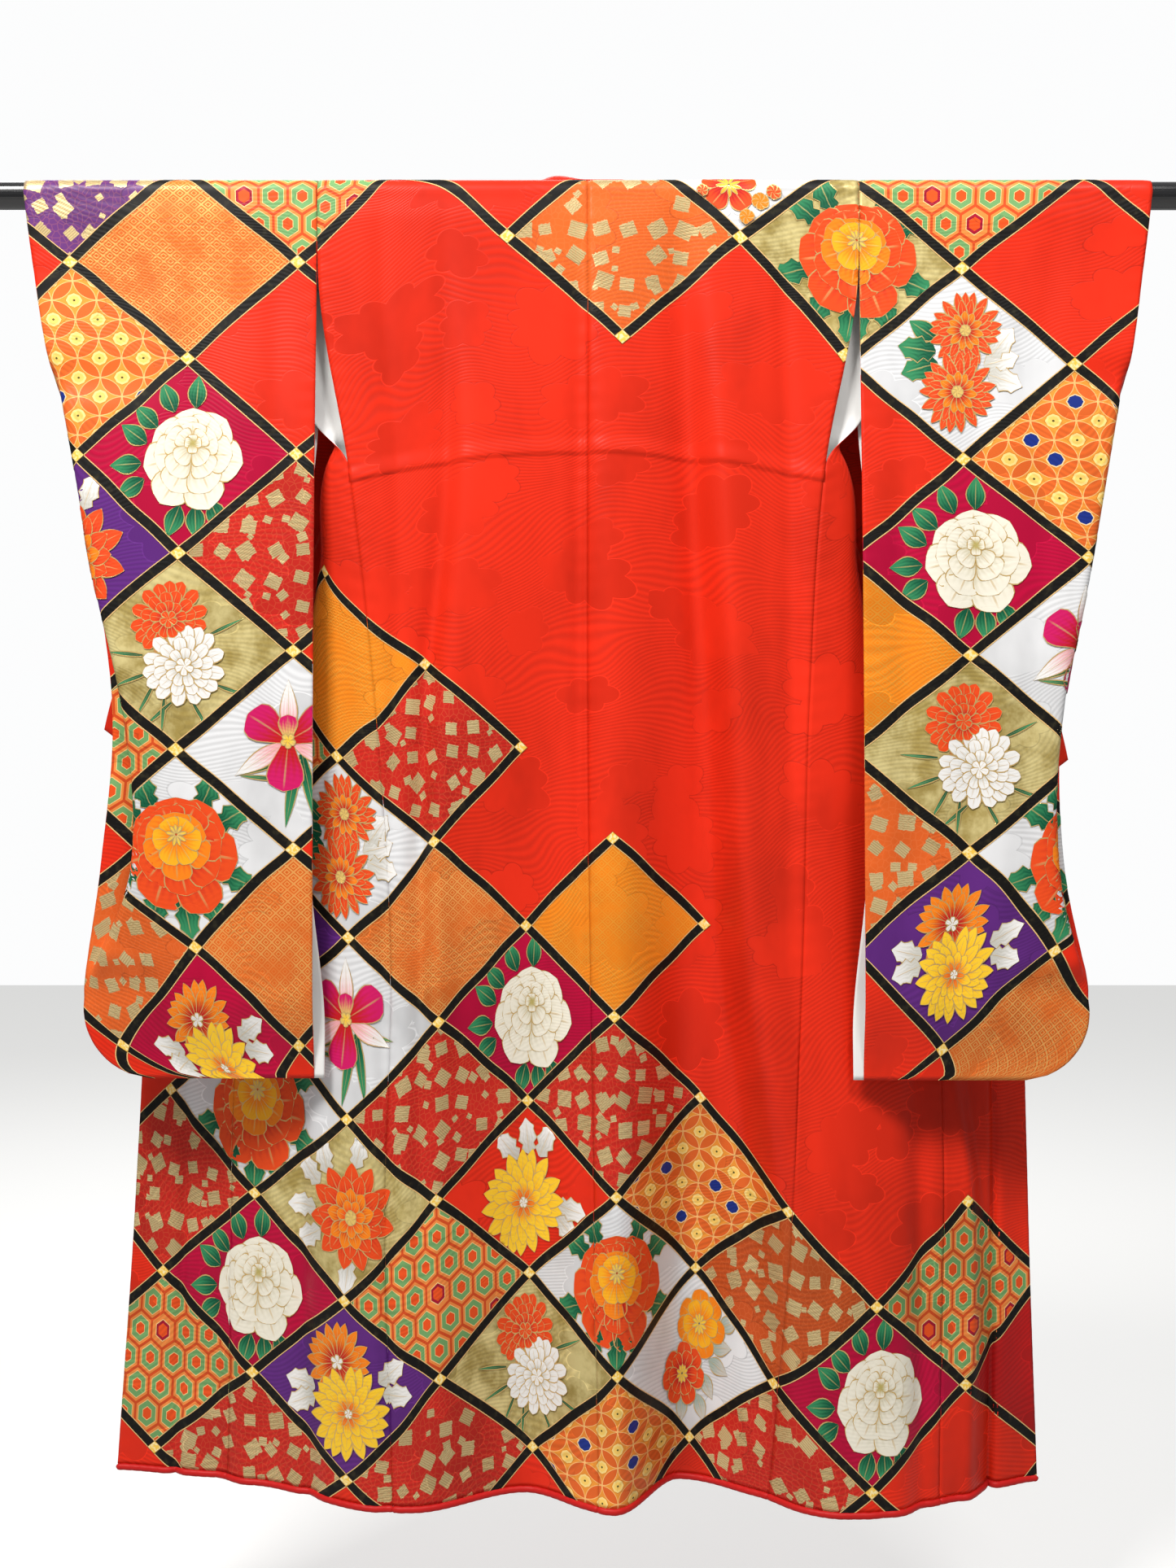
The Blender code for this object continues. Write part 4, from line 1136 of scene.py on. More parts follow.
def front_surface(side, across, flat_height):
    """A point of a spread front. across is 0 at the side seam and 1 at the collar or front edge.

    It lies on a straight line from the side seam to the edge, moved inwards by a half wave where
    the cloth loops and by a whole wave where it doubles back. Lower down it is the back's sheet.
    Beside the armhole its side edge stands out past the back's, behind the sleeve.
    """
    angle, below = over_rod(flat_height)
    seam = millimetres(LEVELS, LEFT_SEAM if side < 0 else RIGHT_SEAM, below)
    opened = ramp_between(ARMHOLE_OPENS, flat_height) * (1.0 - ramp_between(ARMHOLE_CLOSES, flat_height))
    edge = edge_line(LEFT_EDGE if side < 0 else RIGHT_EDGE, flat_height)
    side_y = millimetres(FRONT_HEIGHTS, SIDE_EDGE_DEPTH, flat_height)
    side_y = mix(side_y, sheet_depth(seam, below), ramp_between(SIDE_SEAM_START, flat_height))
    loop = millimetres(FRONT_HEIGHTS, LOOP, flat_height)
    double = millimetres(FRONT_HEIGHTS, DOUBLE_BACK, flat_height)
    tongue = np.where(across < 0.5, np.sin(math.pi * across), 16 * across**2 * (1 - across) ** 2)
    inwards = loop * tongue - double * np.sin(2 * math.pi * across)
    x = mix(seam + side * ARMHOLE_REACH * opened, edge[..., 0], across) - side * inwards
    z = mix(-below, edge[..., 2], across)
    y = mix(side_y, edge[..., 1], mix(across, ease(across), TONGUE_ROUNDING))
    y = mix(y, sheet_depth(x, -z), ramp_between(SHEET_START, flat_height))
    return hang(x, y, z, angle, 1.0)


def front_piece(side, rows, width, span, bounds):
    """A panel of a spread front, draped. Its flat place runs on from the back's, past the side seam,
    and its share of the width covers the whole front with its overlap."""

    def flat(share, height):
        return place_on_lattice(side, side * (BACK_WIDTH + share * front_width(height)), height, True)

    def unflat(u, v):
        height = v + lattice_shift(side, u, v, True)
        return (side * u - BACK_WIDTH) / front_width(height), height

    return drape({
        "side": side,
        "surface": lambda share, height: front_surface(side, share, height),
        "columns": even(0.0, 1.0, MESH_STEP / width),
        "rows": rows,
        "span": span,
        "outwards": -side,
        "flat": flat,
        "unflat": unflat,
        "bounds": bounds,
        "regions": (
            (UPPER_BACK, -1.0, TOP_PATTERN_ENDS, True),
            (LOWER_BODY, UPPER_REGION_ENDS, 2.0, False),
        ),
    })


for side, word in ((-1, "left"), (1, "right")):
    piece = front_piece(
        side, body_rows(0.0), FRONT_WIDTH,
        lambda height: (0.0 * height, FRONT_WIDTH / front_width(height)),
        (BACK_WIDTH, BACK_WIDTH + FRONT_WIDTH),
    )
    PIECES[f"front_{word}"] = piece
    made = shell_object(f"silk_front_{word}", piece, white_lining, red_lining, GROUNDS[PLAIN])
    finish_cloth(made, [f"front_{word}", f"lining_front_{word}"], (FRONT_WIDTH, BODY_LENGTH))


# The overlaps: a narrow panel sewn to the edge of each front, cut slanting where the collar runs
# along it and straight below.

OVERLAP_TIP = 0.020

for side, word in ((-1, "left"), (1, "right")):
    piece = front_piece(
        side, body_rows(OVERLAP_START + OVERLAP_TIP), OVERLAP_WIDTH,
        lambda height: (FRONT_WIDTH / front_width(height), 1.0 + 0.0 * height),
        (BACK_WIDTH + FRONT_WIDTH, BACK_WIDTH + FRONT_WIDTH + OVERLAP_WIDTH),
    )
    PIECES[f"overlap_{word}"] = piece
    made = shell_object(f"silk_overlap_{word}", piece, white_lining, red_lining, GROUNDS[PLAIN])
    slant = (COLLAR_END - OVERLAP_START) / 2
    finish_cloth(
        made, [f"overlap_{word}"], (OVERLAP_WIDTH, BODY_LENGTH - OVERLAP_START),
        area=OVERLAP_WIDTH * (BODY_LENGTH - OVERLAP_START - slant),
    )


# The sleeves: each is one length of silk 0.35 m wide that goes up the outer layer, over the rod and
# down behind. The layers are sewn together below the cuff and along the rounded bottom, and the
# cloth doubles back in one long fold beside the outer seam.

HALF_SHOULDER = 0.320
SLEEVE_WIDTH = 0.347
SLEEVE_LENGTH = 1.072
SLEEVE_GAP = 0.0003
SLEEVE_STEP = (0.0042, 0.0055)
LAYER_GAP = 0.0001

# At each of SLEEVE_LEVELS, in millimetres: width out to the fold and to the seam, how far the cloth
# doubles back, and the depth of the outer and the inner layer
SLEEVE_LEVELS = (0.00, 0.10, 0.30, 0.46, 0.62, 0.80, 0.95, 1.045)
LEFT_SLEEVE = {
    "fold": (347, 333, 295, 266, 230, 220, 268, 271),
    "seam": (347, 333, 290, 258, 238, 252, 270, 271),
    "double": (0, 0, 16, 42, 52, 40, 0, 0),
    "outer": (-19, -20, -34, -43, -48, -50, -51, -50),
    "inner": (19, 17, -6, -19, -23, -25, -29, -34),
}
RIGHT_SLEEVE = {
    "fold": (347, 334, 302, 273, 240, 233, 262, 268),
    "seam": (347, 334, 296, 262, 234, 236, 262, 268),
    "double": (0, 0, 16, 42, 54, 48, 0, 0),
    "outer": (-19, -20, -35, -46, -54, -60, -64, -64),
    "inner": (19, 17, -6, -20, -28, -35, -42, -48),
}
SLEEVE_CORNER = 0.085
FOLD_SOFTNESS = 0.009
TURN_REACH = 0.014
SMALLEST_TURN = 0.012
SEAM_DEPTH = 0.82
CUFF_CLOSES = (0.19, 0.25)
BOTTOM_CLOSES = 0.10
OUTER_LEAN_START = 0.54
INNER_LEAN_START = 0.55
LINING_SHOWS = 0.012
LINING_SHOWS_BETWEEN = (0.78, 1.00)
LINING_HIDES = 0.007
LINING_HIDES_BETWEEN = (0.26, 0.38)

# Creases of both layers: place across at each of SLEEVE_LEVELS, half width, both as shares of the
# sleeve's width, and depth at each level in millimetres
SLEEVE_CREASES = (
    ("by the armhole", (0.16, 0.15, 0.14, 0.13, 0.14, 0.16, 0.18, 0.20), 0.045, (0, 1, 2, 3, 3, 2, 1, 0)),
    ("middle", (0.44, 0.43, 0.42, 0.40, 0.37, 0.36, 0.38, 0.40), 0.060, (0, 1, 2, 2, 3, 2, 2, 0)),
    ("middle crest", (0.30, 0.29, 0.28, 0.27, 0.26, 0.26, 0.28, 0.29), 0.060, (0, 0, -1, -2, -2, -1, -1, 0)),
    ("outer", (0.70, 0.68, 0.64, 0.60, 0.56, 0.56, 0.60, 0.62), 0.050, (0, 1, 1, 2, 2, 2, 1, 0)),
)

LEFT_SLEEVE_LATTICE = {
    "origin": (0.0229, 0.1116),
    "spacing": (0.1388, 0.1153),
    "repeats_behind": True,
    "cells": {
        (2, -1): ("leaf on purple", None),
        (1, 0): ("fine gold", None),
        (0, -1): ("hexagons", None),
        (2, 1): ("circles", None),
        (1, 2): ("magenta", "white rose"),
        (2, 3): ("purple", "dahlia"),
        (0, 3): ("leaf on red", None),
        (1, 4): ("gold", "carnations"),
        (2, 5): ("hexagons", None),
        (0, 5): ("white", "orchid"),
        (1, 6): ("white", "peony"),
        (2, 7): ("leaf on orange", None),
        (0, 7): ("fine gold", None),
        (1, 8): ("magenta", "two chrysanthemums"),
    },
}
RIGHT_SLEEVE_LATTICE = {
    "origin": (0.1250, 0.1189),
    "spacing": (0.1423, 0.1147),
    "repeats_behind": True,
    "moved": {(-1, 0): (0.0143, -0.0150)},
    "cells": {
        (0, -1): ("hexagons", None),
        (0, 1): ("white", "two red chrysanthemums"),
        (1, 2): ("circles", None),
        (-1, 0): ("gold", "peony"),
        (0, 3): ("magenta", "white rose"),
        (1, 4): ("white", "orchid"),
        (-1, 4): ("amber", None),
        (0, 5): ("gold", "carnations"),
        (-1, 6): ("leaf on orange", None),
        (1, 6): ("white", "peony"),
        (0, 7): ("purple", "two chrysanthemums"),
        (1, 8): ("fine gold", None),
    },
}


def corner_inset(below):
    """How far the round lower corner of the sleeve draws its outer seam in, a quarter circle."""
    into = np.clip((below - (SLEEVE_LEVELS[-1] - SLEEVE_CORNER)) / SLEEVE_CORNER, 0.0, 0.998)
    return SLEEVE_CORNER * (1.0 - np.sqrt(1.0 - into**2))


def ramp(t):
    """Zero below 0 and t above it, with a soft bend between."""
    return 0.5 * (t + np.sqrt(t * t + FOLD_SOFTNESS**2))


def turn_depth(run, fold, double, lean):
    """Share of the way back that the doubled layer has gone: a step at each of its two turns."""
    steps = 0.5 * ease((run - fold) / (2 * TURN_REACH) + 0.5)
    steps = steps + 0.5 * ease((run - fold - double) / (2 * TURN_REACH) + 0.5)
    return mix(lean, steps, ease(double / SMALLEST_TURN))


def sleeve_surface(side, across, along):
    """A point of a sleeve. across is 0 at the body side and 1 at the outer seam.

    along is the flat height, negative on the outer layer, which hangs before the rod. Across it,
    the outer layer runs out to its fold, back by the double, and out again to the seam.
    """
    across = across + 0.0 * along
    outer_layer = along < 0
    layer = np.where(outer_layer, -1.0, 1.0)
    angle, below = over_rod(np.abs(along))
    table = LEFT_SLEEVE if side < 0 else RIGHT_SLEEVE
    names = ("fold", "seam", "double", "outer", "inner")
    fold, seam, double, outer, inner = (millimetres(SLEEVE_LEVELS, table[name], below) for name in names)
    double = np.maximum(double, 0.0)
    seam = seam - corner_inset(below)
    fold = fold - corner_inset(below)
    bottom = SLEEVE_LEVELS[-1]
    closing = ramp_between(CUFF_CLOSES, below)
    bottom_close = ramp_between((bottom - BOTTOM_CLOSES, bottom), below)
    half = SHELL / 2 + LAYER_GAP
    meet = mix(outer, inner, SEAM_DEPTH)
    run = across * (seam + 2 * double)
    x_outer = run - 2 * ramp(run - fold) + 2 * ramp(run - fold - double)
    lean = np.clip((across - OUTER_LEAN_START) / (1.0 - OUTER_LEAN_START), 0.0, 1.0)
    depth = turn_depth(run, fold, double, lean)
    shown = (LINING_SHOWS + LINING_HIDES) * ramp_between(LINING_SHOWS_BETWEEN, below)
    hidden = LINING_HIDES * ramp_between(LINING_HIDES_BETWEEN, below)
    x_inner = seam * across + (hidden - shown) * (1 - across)
    y_outer = mix(outer, mix(outer, meet - half, closing), depth)
    y_inner = mix(inner, mix(inner, meet + half, closing), ramp_between((INNER_LEAN_START, 1.0), across))
    x = np.where(outer_layer, x_outer, x_inner)
    y = np.where(outer_layer, y_outer, y_inner)
    for name, place, half_width, trough in SLEEVE_CREASES:
        away = (across - track(SLEEVE_LEVELS, place, below)) / half_width
        y = y - layer * millimetres(SLEEVE_LEVELS, trough, below) * np.exp(-(away**2))
    y = mix(y, meet + layer * half, bottom_close)
    return hang(side * (HALF_SHOULDER + SLEEVE_GAP + x), y, -below, angle, layer)


down = np.concatenate([TURN_ROWS, even(QUARTER_TURN, SLEEVE_LENGTH, SLEEVE_STEP[1])])
for side, word, lattice in ((-1, "left", LEFT_SLEEVE_LATTICE), (1, "right", RIGHT_SLEEVE_LATTICE)):
    piece = drape({
        "side": side,
        "surface": lambda share, height: sleeve_surface(side, share, height),
        "columns": even(0.0, 1.0, SLEEVE_STEP[0] / SLEEVE_WIDTH),
        "rows": np.concatenate([-down[:0:-1], down]),
        "span": lambda height: (0.0 * height, 1.0 + 0.0 * height),
        "outwards": side,
        "flat": lambda share, height: (share * SLEEVE_WIDTH, -height),
        "unflat": lambda u, v: (u / SLEEVE_WIDTH, -v),
        "bounds": (0.0, SLEEVE_WIDTH),
        "regions": ((lattice, -2.0, 2.0, False),),
    })
    PIECES[f"sleeve_{word}"] = piece
    made = shell_object(f"silk_sleeve_{word}", piece, white_lining, white_lining, GROUNDS[PLAIN])
    finish_cloth(made, [f"sleeve_{word}", f"lining_sleeve_{word}"], (SLEEVE_WIDTH, 2 * SLEEVE_LENGTH))


# The collar: one long strip folded double and stiffened, sewn round the neck and down both front
# edges. It stands up behind the rod in one low bump and points outwards further down.

COLLAR_WIDTH = 0.056
COLLAR_WALL = 0.0026
COLLAR_STEP = 0.004
COLLAR_SEAM_GAP = 0.0010
NECK_HALF_WIDTH = 0.085
NECK_CORNER = 0.045
NECK_SEAM_Y = 0.0012
NECK_SEAM_RISE = 0.002
NECK_BUMP = 0.014
NECK_BUMP_PLACE = -0.036
NECK_BUMP_REACH = 0.034
NECK_DROOP = 0.022
COLLAR_OUTWARDS = 0.66
COLLAR_END_OUTWARDS = 0.14
COLLAR_BACKWARDS = (0.80, 0.10)
COLLAR_TURN = (0.15, 0.20)


def collar_surface(across, along):
    """A point of the collar. along is the distance from the centre of the neck, negative to the
    left, and across runs from 0 at the seam to 1 at the folded outer edge. It is the seam's point
    moved by the width in a direction that turns from backwards to outwards with the distance.
    """
    side = np.where(along < 0, -1.0, 1.0)
    past_neck = np.maximum(np.abs(along) - NECK_HALF_WIDTH, 0.0)
    height = EDGE_HEIGHTS[0] + past_neck * (COLLAR_END - EDGE_HEIGHTS[0]) / COLLAR_END
    left, right = edge_line(LEFT_EDGE, height), edge_line(RIGHT_EDGE, height)
    seam = np.where((along < 0)[..., None], left, right)
    corner = ease((np.abs(along) - NECK_HALF_WIDTH + NECK_CORNER) / NECK_CORNER)
    neck_x = along * (1.0 - past_neck / np.maximum(np.abs(along), 1e-6))
    level = 0.0 * along
    start = np.stack([neck_x, NECK_SEAM_Y + level, DRAPE_RADIUS + NECK_SEAM_RISE + level], -1)
    seam = mix(start, seam, corner[..., None])
    width = COLLAR_SEAM_GAP + COLLAR_WIDTH * across
    outwards = COLLAR_OUTWARDS * ease(past_neck / COLLAR_TURN[0])
    outwards = outwards + COLLAR_END_OUTWARDS * past_neck / COLLAR_END
    backwards = mix(COLLAR_BACKWARDS[0], COLLAR_BACKWARDS[1], ease(past_neck / COLLAR_TURN[1]))
    upwards = np.sqrt(np.maximum(1.0 - outwards**2 - backwards**2, 0.0))
    bump = NECK_BUMP * np.exp(-(((along - NECK_BUMP_PLACE) / NECK_BUMP_REACH) ** 2))
    droop = (1.0 - corner) * (upwards * width + NECK_DROOP * across**2 - bump * np.sin(math.pi * across))
    x = seam[..., 0] + side * outwards * width
    y = seam[..., 1] + backwards * width
    z = seam[..., 2] + upwards * width - droop
    return np.stack([x, y, z], -1)


collar_run = NECK_HALF_WIDTH + COLLAR_END
piece = drape({
    "side": 1,
    "surface": collar_surface,
    "columns": even(0.0, 1.0, COLLAR_STEP / COLLAR_WIDTH),
    "rows": even(-collar_run, collar_run),
    "span": lambda height: (0.0 * height, 1.0 + 0.0 * height),
    "outwards": 1,
    "flat": lambda share, height: (share * COLLAR_WIDTH, height),
    "regions": (),
}, COLLAR_WALL)
made = shell_object("silk_collar", piece, GROUNDS[PLAIN], GROUNDS[PLAIN], GROUNDS[PLAIN])
finish_cloth(made, ["collar"], (COLLAR_WIDTH, 2 * collar_run))


# The black bars of the lattice and the yellow squares where they cross: dyed bands 12.6 mm wide
# between two thin cream lines left by the paste. Each is a thin skin that lies on its cloth.

BAR_HALF = 0.0376
BAR_SAMPLES = 33
BAR_LINES = 5
SKIN_LIFT = 0.00042
SQUARE_LIFT = 0.00060
WOBBLE = 0.0010
WOBBLE_WAVES = 61.0
WOBBLE_BENDS = 23.0
CLIP_MARGIN = 0.0004
SMALLEST_FACE = 2e-8
SMALLEST_STRIP = 1e-3
SLEEVE_COLUMNS = range(-2, 4)
SLEEVE_ROWS = range(-11, 11)
BAR_INK = (0.007, 0.006, 0.005)
WORN_INK = (0.026, 0.022, 0.012, 1.0)
PASTE = (0.78, 0.50, 0.20, 1.0)
NODE_YELLOW = (0.90, 0.56, 0.08)
NODE_PALE = (0.93, 0.80, 0.42, 1.0)
NODE_EDGE = (0.30, 0.14, 0.02, 1.0)


def flat_of(region, s, t):
    """A place of the flat cloth from the lattice's slanting coordinates."""
    return (
        region["origin"][0] + (s + t) * region["spacing"][0],
        region["origin"][1] + (s - t) * region["spacing"][1],
    )


def lay_on(piece, u, v, lift):
    """Points over the outer face of a piece of cloth, at places of the flat cloth.

    Each is found between the four nearest points of the piece's grid, and moved out by the lift.
    """
    share, height = piece["unflat"](u, v)
    rows, columns = piece["rows"], piece["columns"]
    height = np.clip(height, rows[0], rows[-1])
    start, end = piece["span"](height)
    place = np.clip((share - start) / (end - start), 0.0, 1.0)
    r = np.clip(np.searchsorted(rows, height, side="right") - 1, 0, len(rows) - 2)
    c = np.clip(np.searchsorted(columns, place, side="right") - 1, 0, len(columns) - 2)
    down = ((height - rows[r]) / (rows[r + 1] - rows[r]))[..., None]
    across = ((place - columns[c]) / (columns[c + 1] - columns[c]))[..., None]
    found = []
    for grid in (piece["outer"], piece["normal"]):
        above = mix(grid[r, c], grid[r, c + 1], across)
        found.append(mix(above, mix(grid[r + 1, c], grid[r + 1, c + 1], across), down))
    normal = unit(found[1])
    return found[0] + normal * lift[..., None], normal


def strips(piece, region, first, last, turned, spans, samples):
    """Bands of the lattice that lie on a piece, cut off at its edges.

    Each row of spans is the band's two corners in slanting coordinates, and whether it runs along
    s or t. A band is a set of straight lines on the flat cloth, each cut to the part within bounds
    and then moved up and down by a slow wave, as a hand-drawn line wavers.
    """
    s0, t0, s1, t1, runs_along_s = (spans[:, k, None] for k in range(5))
    across = np.linspace(0.0, 1.0, BAR_LINES)
    begin_s = np.where(runs_along_s > 0, s0, mix(s0, s1, across))
    begin_t = np.where(runs_along_s > 0, mix(t0, t1, across), t0)
    end_s = np.where(runs_along_s > 0, s1, mix(s0, s1, across))
    end_t = np.where(runs_along_s > 0, mix(t0, t1, across), t1)
    begin, end = flat_of(region, begin_s, begin_t), flat_of(region, end_s, end_t)
    if turned:
        begin, end = turned_over(piece["side"], *begin), turned_over(piece["side"], *end)
    outward = piece["side"] if piece["signed"] else 1
    top, bottom = (-last, -first) if turned else (first, last)
    limits = (
        (outward * begin[0], outward * end[0], *piece["bounds"]),
        (begin[1], end[1], max(top, piece["v_range"][0]), min(bottom, piece["v_range"][1])),
    )
    low, high = np.zeros_like(begin[0]), np.ones_like(begin[0])
    for a, b, least, most in limits:
        slope = np.where(np.abs(b - a) < 1e-9, 1e-9, b - a)
        cuts = np.sort(np.stack([(least - a) / slope, (most - a) / slope]), axis=0)
        low, high = np.maximum(low, cuts[0]), np.minimum(high, cuts[1])
    high = np.maximum(high, low)
    share = mix(low[..., None], high[..., None], np.linspace(0.0, 1.0, samples))
    u = mix(begin[0][..., None], end[0][..., None], share)
    v = mix(begin[1][..., None], end[1][..., None], share)
    kept = (high - low).max(axis=1) > SMALLEST_STRIP
    v = v + WOBBLE * np.sin(WOBBLE_WAVES * u + 2.0 * np.sin(WOBBLE_BENDS * v))
    return u[kept], v[kept], share[kept]


def skin_object(name, laid, maps, colours, material):
    """One mesh of many small patches, each a grid of points with a row and a column. Faces that the
    cut has left without area are dropped, and each one is turned to face outwards."""
    points, normals = laid
    patches, rows, columns = points.shape[:3]
    flat = points.reshape(-1, 3)
    index = np.arange(len(flat)).reshape(patches, rows, columns)
    quads = np.stack([index[:, :-1, :-1], index[:, :-1, 1:], index[:, 1:, 1:], index[:, 1:, :-1]], -1)
    corner = flat[quads]
    crossed = np.cross(corner[..., 2, :] - corner[..., 0, :], corner[..., 3, :] - corner[..., 1, :])
    kept = np.linalg.norm(crossed, axis=-1) > SMALLEST_FACE
    inwards = (crossed * normals.reshape(-1, 3)[quads[..., 0]]).sum(axis=-1) < 0
    quads = np.where(inwards[..., None], quads[..., ::-1], quads)
    faces = quads[kept]
    used, renumbered = np.unique(faces, return_inverse=True)
    made = mesh_of(name, flat[used], [renumbered.reshape(faces.shape)], [material])
    for key, values in maps.items():
        write_map(made, key, values.reshape(-1, 2)[faces])
    side = int(math.ceil(math.sqrt(patches)))
    number = np.arange(patches)
    tile = np.stack([number % side, number // side], -1)[:, None, None] + 0.04
    inside = np.stack(np.meshgrid(np.linspace(0, 0.92, columns), np.linspace(0, 0.92, rows)), -1)
    write_map(made, "OFBake", ((tile + inside) / side).reshape(-1, 2)[faces])
    for key, values in colours.items():
        layer = made.data.color_attributes.new(name=key, type="FLOAT_COLOR", domain="POINT")
        values = np.ascontiguousarray(values.reshape(-1, 4)[used], np.float32)
        layer.data.foreach_set("color", values.ravel())
    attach(made, "root")


bar_black, tree, shader = material_tree("black dyed bars")
across, cloth = read_map(tree, "band").part(0), read_map(tree, "cloth")
worn_ink = dye(tree, BAR_INK).towards(WORN_INK, cloth.noise(90.0, 3.0).soft_step(0.50, 0.75))
ragged = (cloth.noise(420.0, 2.0) - 0.5) * 0.10
line = (across.maths("ABSOLUTE") + ragged).soft_step(0.80, 0.86)
worn_ink.towards(PASTE, line).into(shader, "Base Color")
shader.inputs["Roughness"].default_value = 0.48
shader.inputs["Specular IOR Level"].default_value = SILK_SPECULAR
weave = use(tree, figured_weave, {"Cloth": cloth})
join_bump(shader, weave["Relief"] * 0.6 + line * 0.5, 0.35, 0.0005)

square_yellow, tree, shader = material_tree("yellow node squares")
band, cloth = read_map(tree, "band").vector_maths("ABSOLUTE"), read_map(tree, "cloth")
pale = dye(tree, NODE_YELLOW).towards(NODE_PALE, cloth.noise(260.0, 2.0).soft_step(0.42, 0.62))
edge = band.part(0).maths("MAXIMUM", band.part(1)).soft_step(0.84, 0.96)
pale.towards(NODE_EDGE, edge).into(shader, "Base Color")
shader.inputs["Roughness"].default_value = 0.42
shader.inputs["Specular IOR Level"].default_value = SILK_SPECULAR
join_bump(shader, edge * -1.0, 0.4, 0.0004)


def bars_and_squares(region):
    """Spans of all bars and squares: round each active cell of the body, or all over a sleeve."""
    bars, squares = set(), set()
    cells = region["cells"]
    if region.get("repeats_behind"):
        cells = [(k, r) for k in SLEEVE_COLUMNS for r in SLEEVE_ROWS if (k + r) % 2]
    for k, r in cells:
        s, t = (k + r - 1) // 2, (k - r - 1) // 2
        bars |= {(s, t, 1), (s, t + 1, 1), (s, t, 0), (s + 1, t, 0)}
        squares |= {(s, t), (s + 1, t), (s, t + 1), (s + 1, t + 1)}
    h = BAR_HALF
    spans = []
    for s, t, runs_along_s in sorted(bars):
        if runs_along_s:
            spans.append((s + h, t - h, s + 1 - h, t + h, 1))
        else:
            spans.append((s - h, t + h, s + h, t + 1 - h, 0))
    return np.array(spans), np.array([(s - h, t - h, s + h, t + h, 1) for s, t in sorted(squares)])


KINDS = (("bars", bar_black, SKIN_LIFT, BAR_SAMPLES), ("squares", square_yellow, SQUARE_LIFT, BAR_LINES))
for name, piece in PIECES.items():
    piece["signed"] = not name.startswith("sleeve")
    ends = piece["flat"](np.linspace(0.0, 1.0, 9), piece["rows"][[0, -1]][:, None])[1]
    piece["v_range"] = (ends.min() + CLIP_MARGIN, ends.max() - CLIP_MARGIN)
    piece["bounds"] = (piece["bounds"][0] + CLIP_MARGIN, piece["bounds"][1] - CLIP_MARGIN)
    for choice, (kind, material, lift, samples) in enumerate(KINDS):
        parts = []
        for region, first, last, turned in piece["regions"]:
            spans = bars_and_squares(region)[choice]
            parts.append(strips(piece, region, first, last, turned, spans, samples))
        u, v, share = (np.concatenate(group) for group in zip(*parts))
        band = np.stack(np.broadcast_arrays(np.linspace(-1, 1, BAR_LINES)[:, None], share * 2 - 1), -1)
        laid = lay_on(piece, u, v, np.full(u.shape, lift))
        maps = {"band": band, "cloth": np.stack([u, v], -1)}
        skin_object(f"{kind}_{name}", laid, maps, {}, material)


# The flowers: dyed and painted by hand inside the cells, each petal with a gold outline drawn on it.
# They are thin skins on the cloth. A flower is made of rings of petals, from the outermost one in.

PETAL_ROWS = 11
PETAL_COLUMNS = 5
PETAL_CROWDING = 1.5
FLOWER_LIFT = 0.00062
RING_LIFT = 0.00022
PETAL_TILT = 0.00006
OUTLINE = 0.0011
FRILL = 0.10
FRILL_WAVES = 2.5
FRILL_END = 12
TURN_UNEVENNESS = 0.10
LENGTH_UNEVENNESS = 0.06
BUNCH_SCALE = 1.32
BUNCH_ROOM = 0.5 - BAR_HALF

# In steps of RING_LIFT: between neighbouring leaves, from the leaves to the first ring, and from
# flower to flower
LEAF_LEVEL = 0.5
FIRST_RING_LEVEL = 1.2
FLOWER_LEVEL = 1.5

# Outline of a petal: places along its length, half width there as a share of its greatest, and how
# much its edge is frilled
PETAL_SHAPES = {
    "curled": ((0.0, 0.25, 0.58, 0.82, 0.94, 1.0), (0.30, 0.68, 1.0, 0.84, 0.44, 0.0), 0.5),
    "round": ((0.0, 0.25, 0.55, 0.80, 0.93, 1.0), (0.30, 0.70, 1.0, 0.88, 0.58, 0.0), 0.0),
    "frilled": ((0.0, 0.25, 0.60, 0.84, 0.95, 1.0), (0.30, 0.62, 1.0, 0.94, 0.66, 0.10), 1.0),
    "pointed": ((0.0, 0.30, 0.60, 0.85, 1.0), (0.35, 0.82, 1.0, 0.58, 0.0), 0.0),
    "leaf": ((0.0, 0.20, 0.45, 0.75, 1.0), (0.10, 0.76, 1.0, 0.60, 0.0), 0.25),
    "lobed": (
        (0.0, 0.16, 0.30, 0.44, 0.60, 0.72, 0.86, 1.0), (0.12, 0.75, 0.55, 1.0, 0.62, 0.80, 0.36, 0.0), 0.0,
    ),
    "blade": ((0.0, 0.30, 0.70, 1.0), (0.55, 1.0, 0.70, 0.0), 0.0),
}

INKS = {
    "cream": (0.82, 0.77, 0.64),
    "cream shade": (0.62, 0.56, 0.40),
    "cream heart": (0.46, 0.38, 0.12),
    "white": (0.82, 0.80, 0.77),
    "white heart": (0.56, 0.54, 0.48),
    "vermilion": (0.78, 0.070, 0.012),
    "deep red": (0.50, 0.012, 0.012),
    "orange": (0.88, 0.22, 0.010),
    "amber": (0.92, 0.42, 0.015),
    "yellow": (0.94, 0.58, 0.03),
    "magenta": (0.60, 0.010, 0.12),
    "pink": (0.80, 0.36, 0.38),
    "green": (0.004, 0.085, 0.040),
    "pale green": (0.035, 0.24, 0.10),
    "grey green": (0.34, 0.42, 0.36),
    "gold": (0.72, 0.50, 0.14),
}

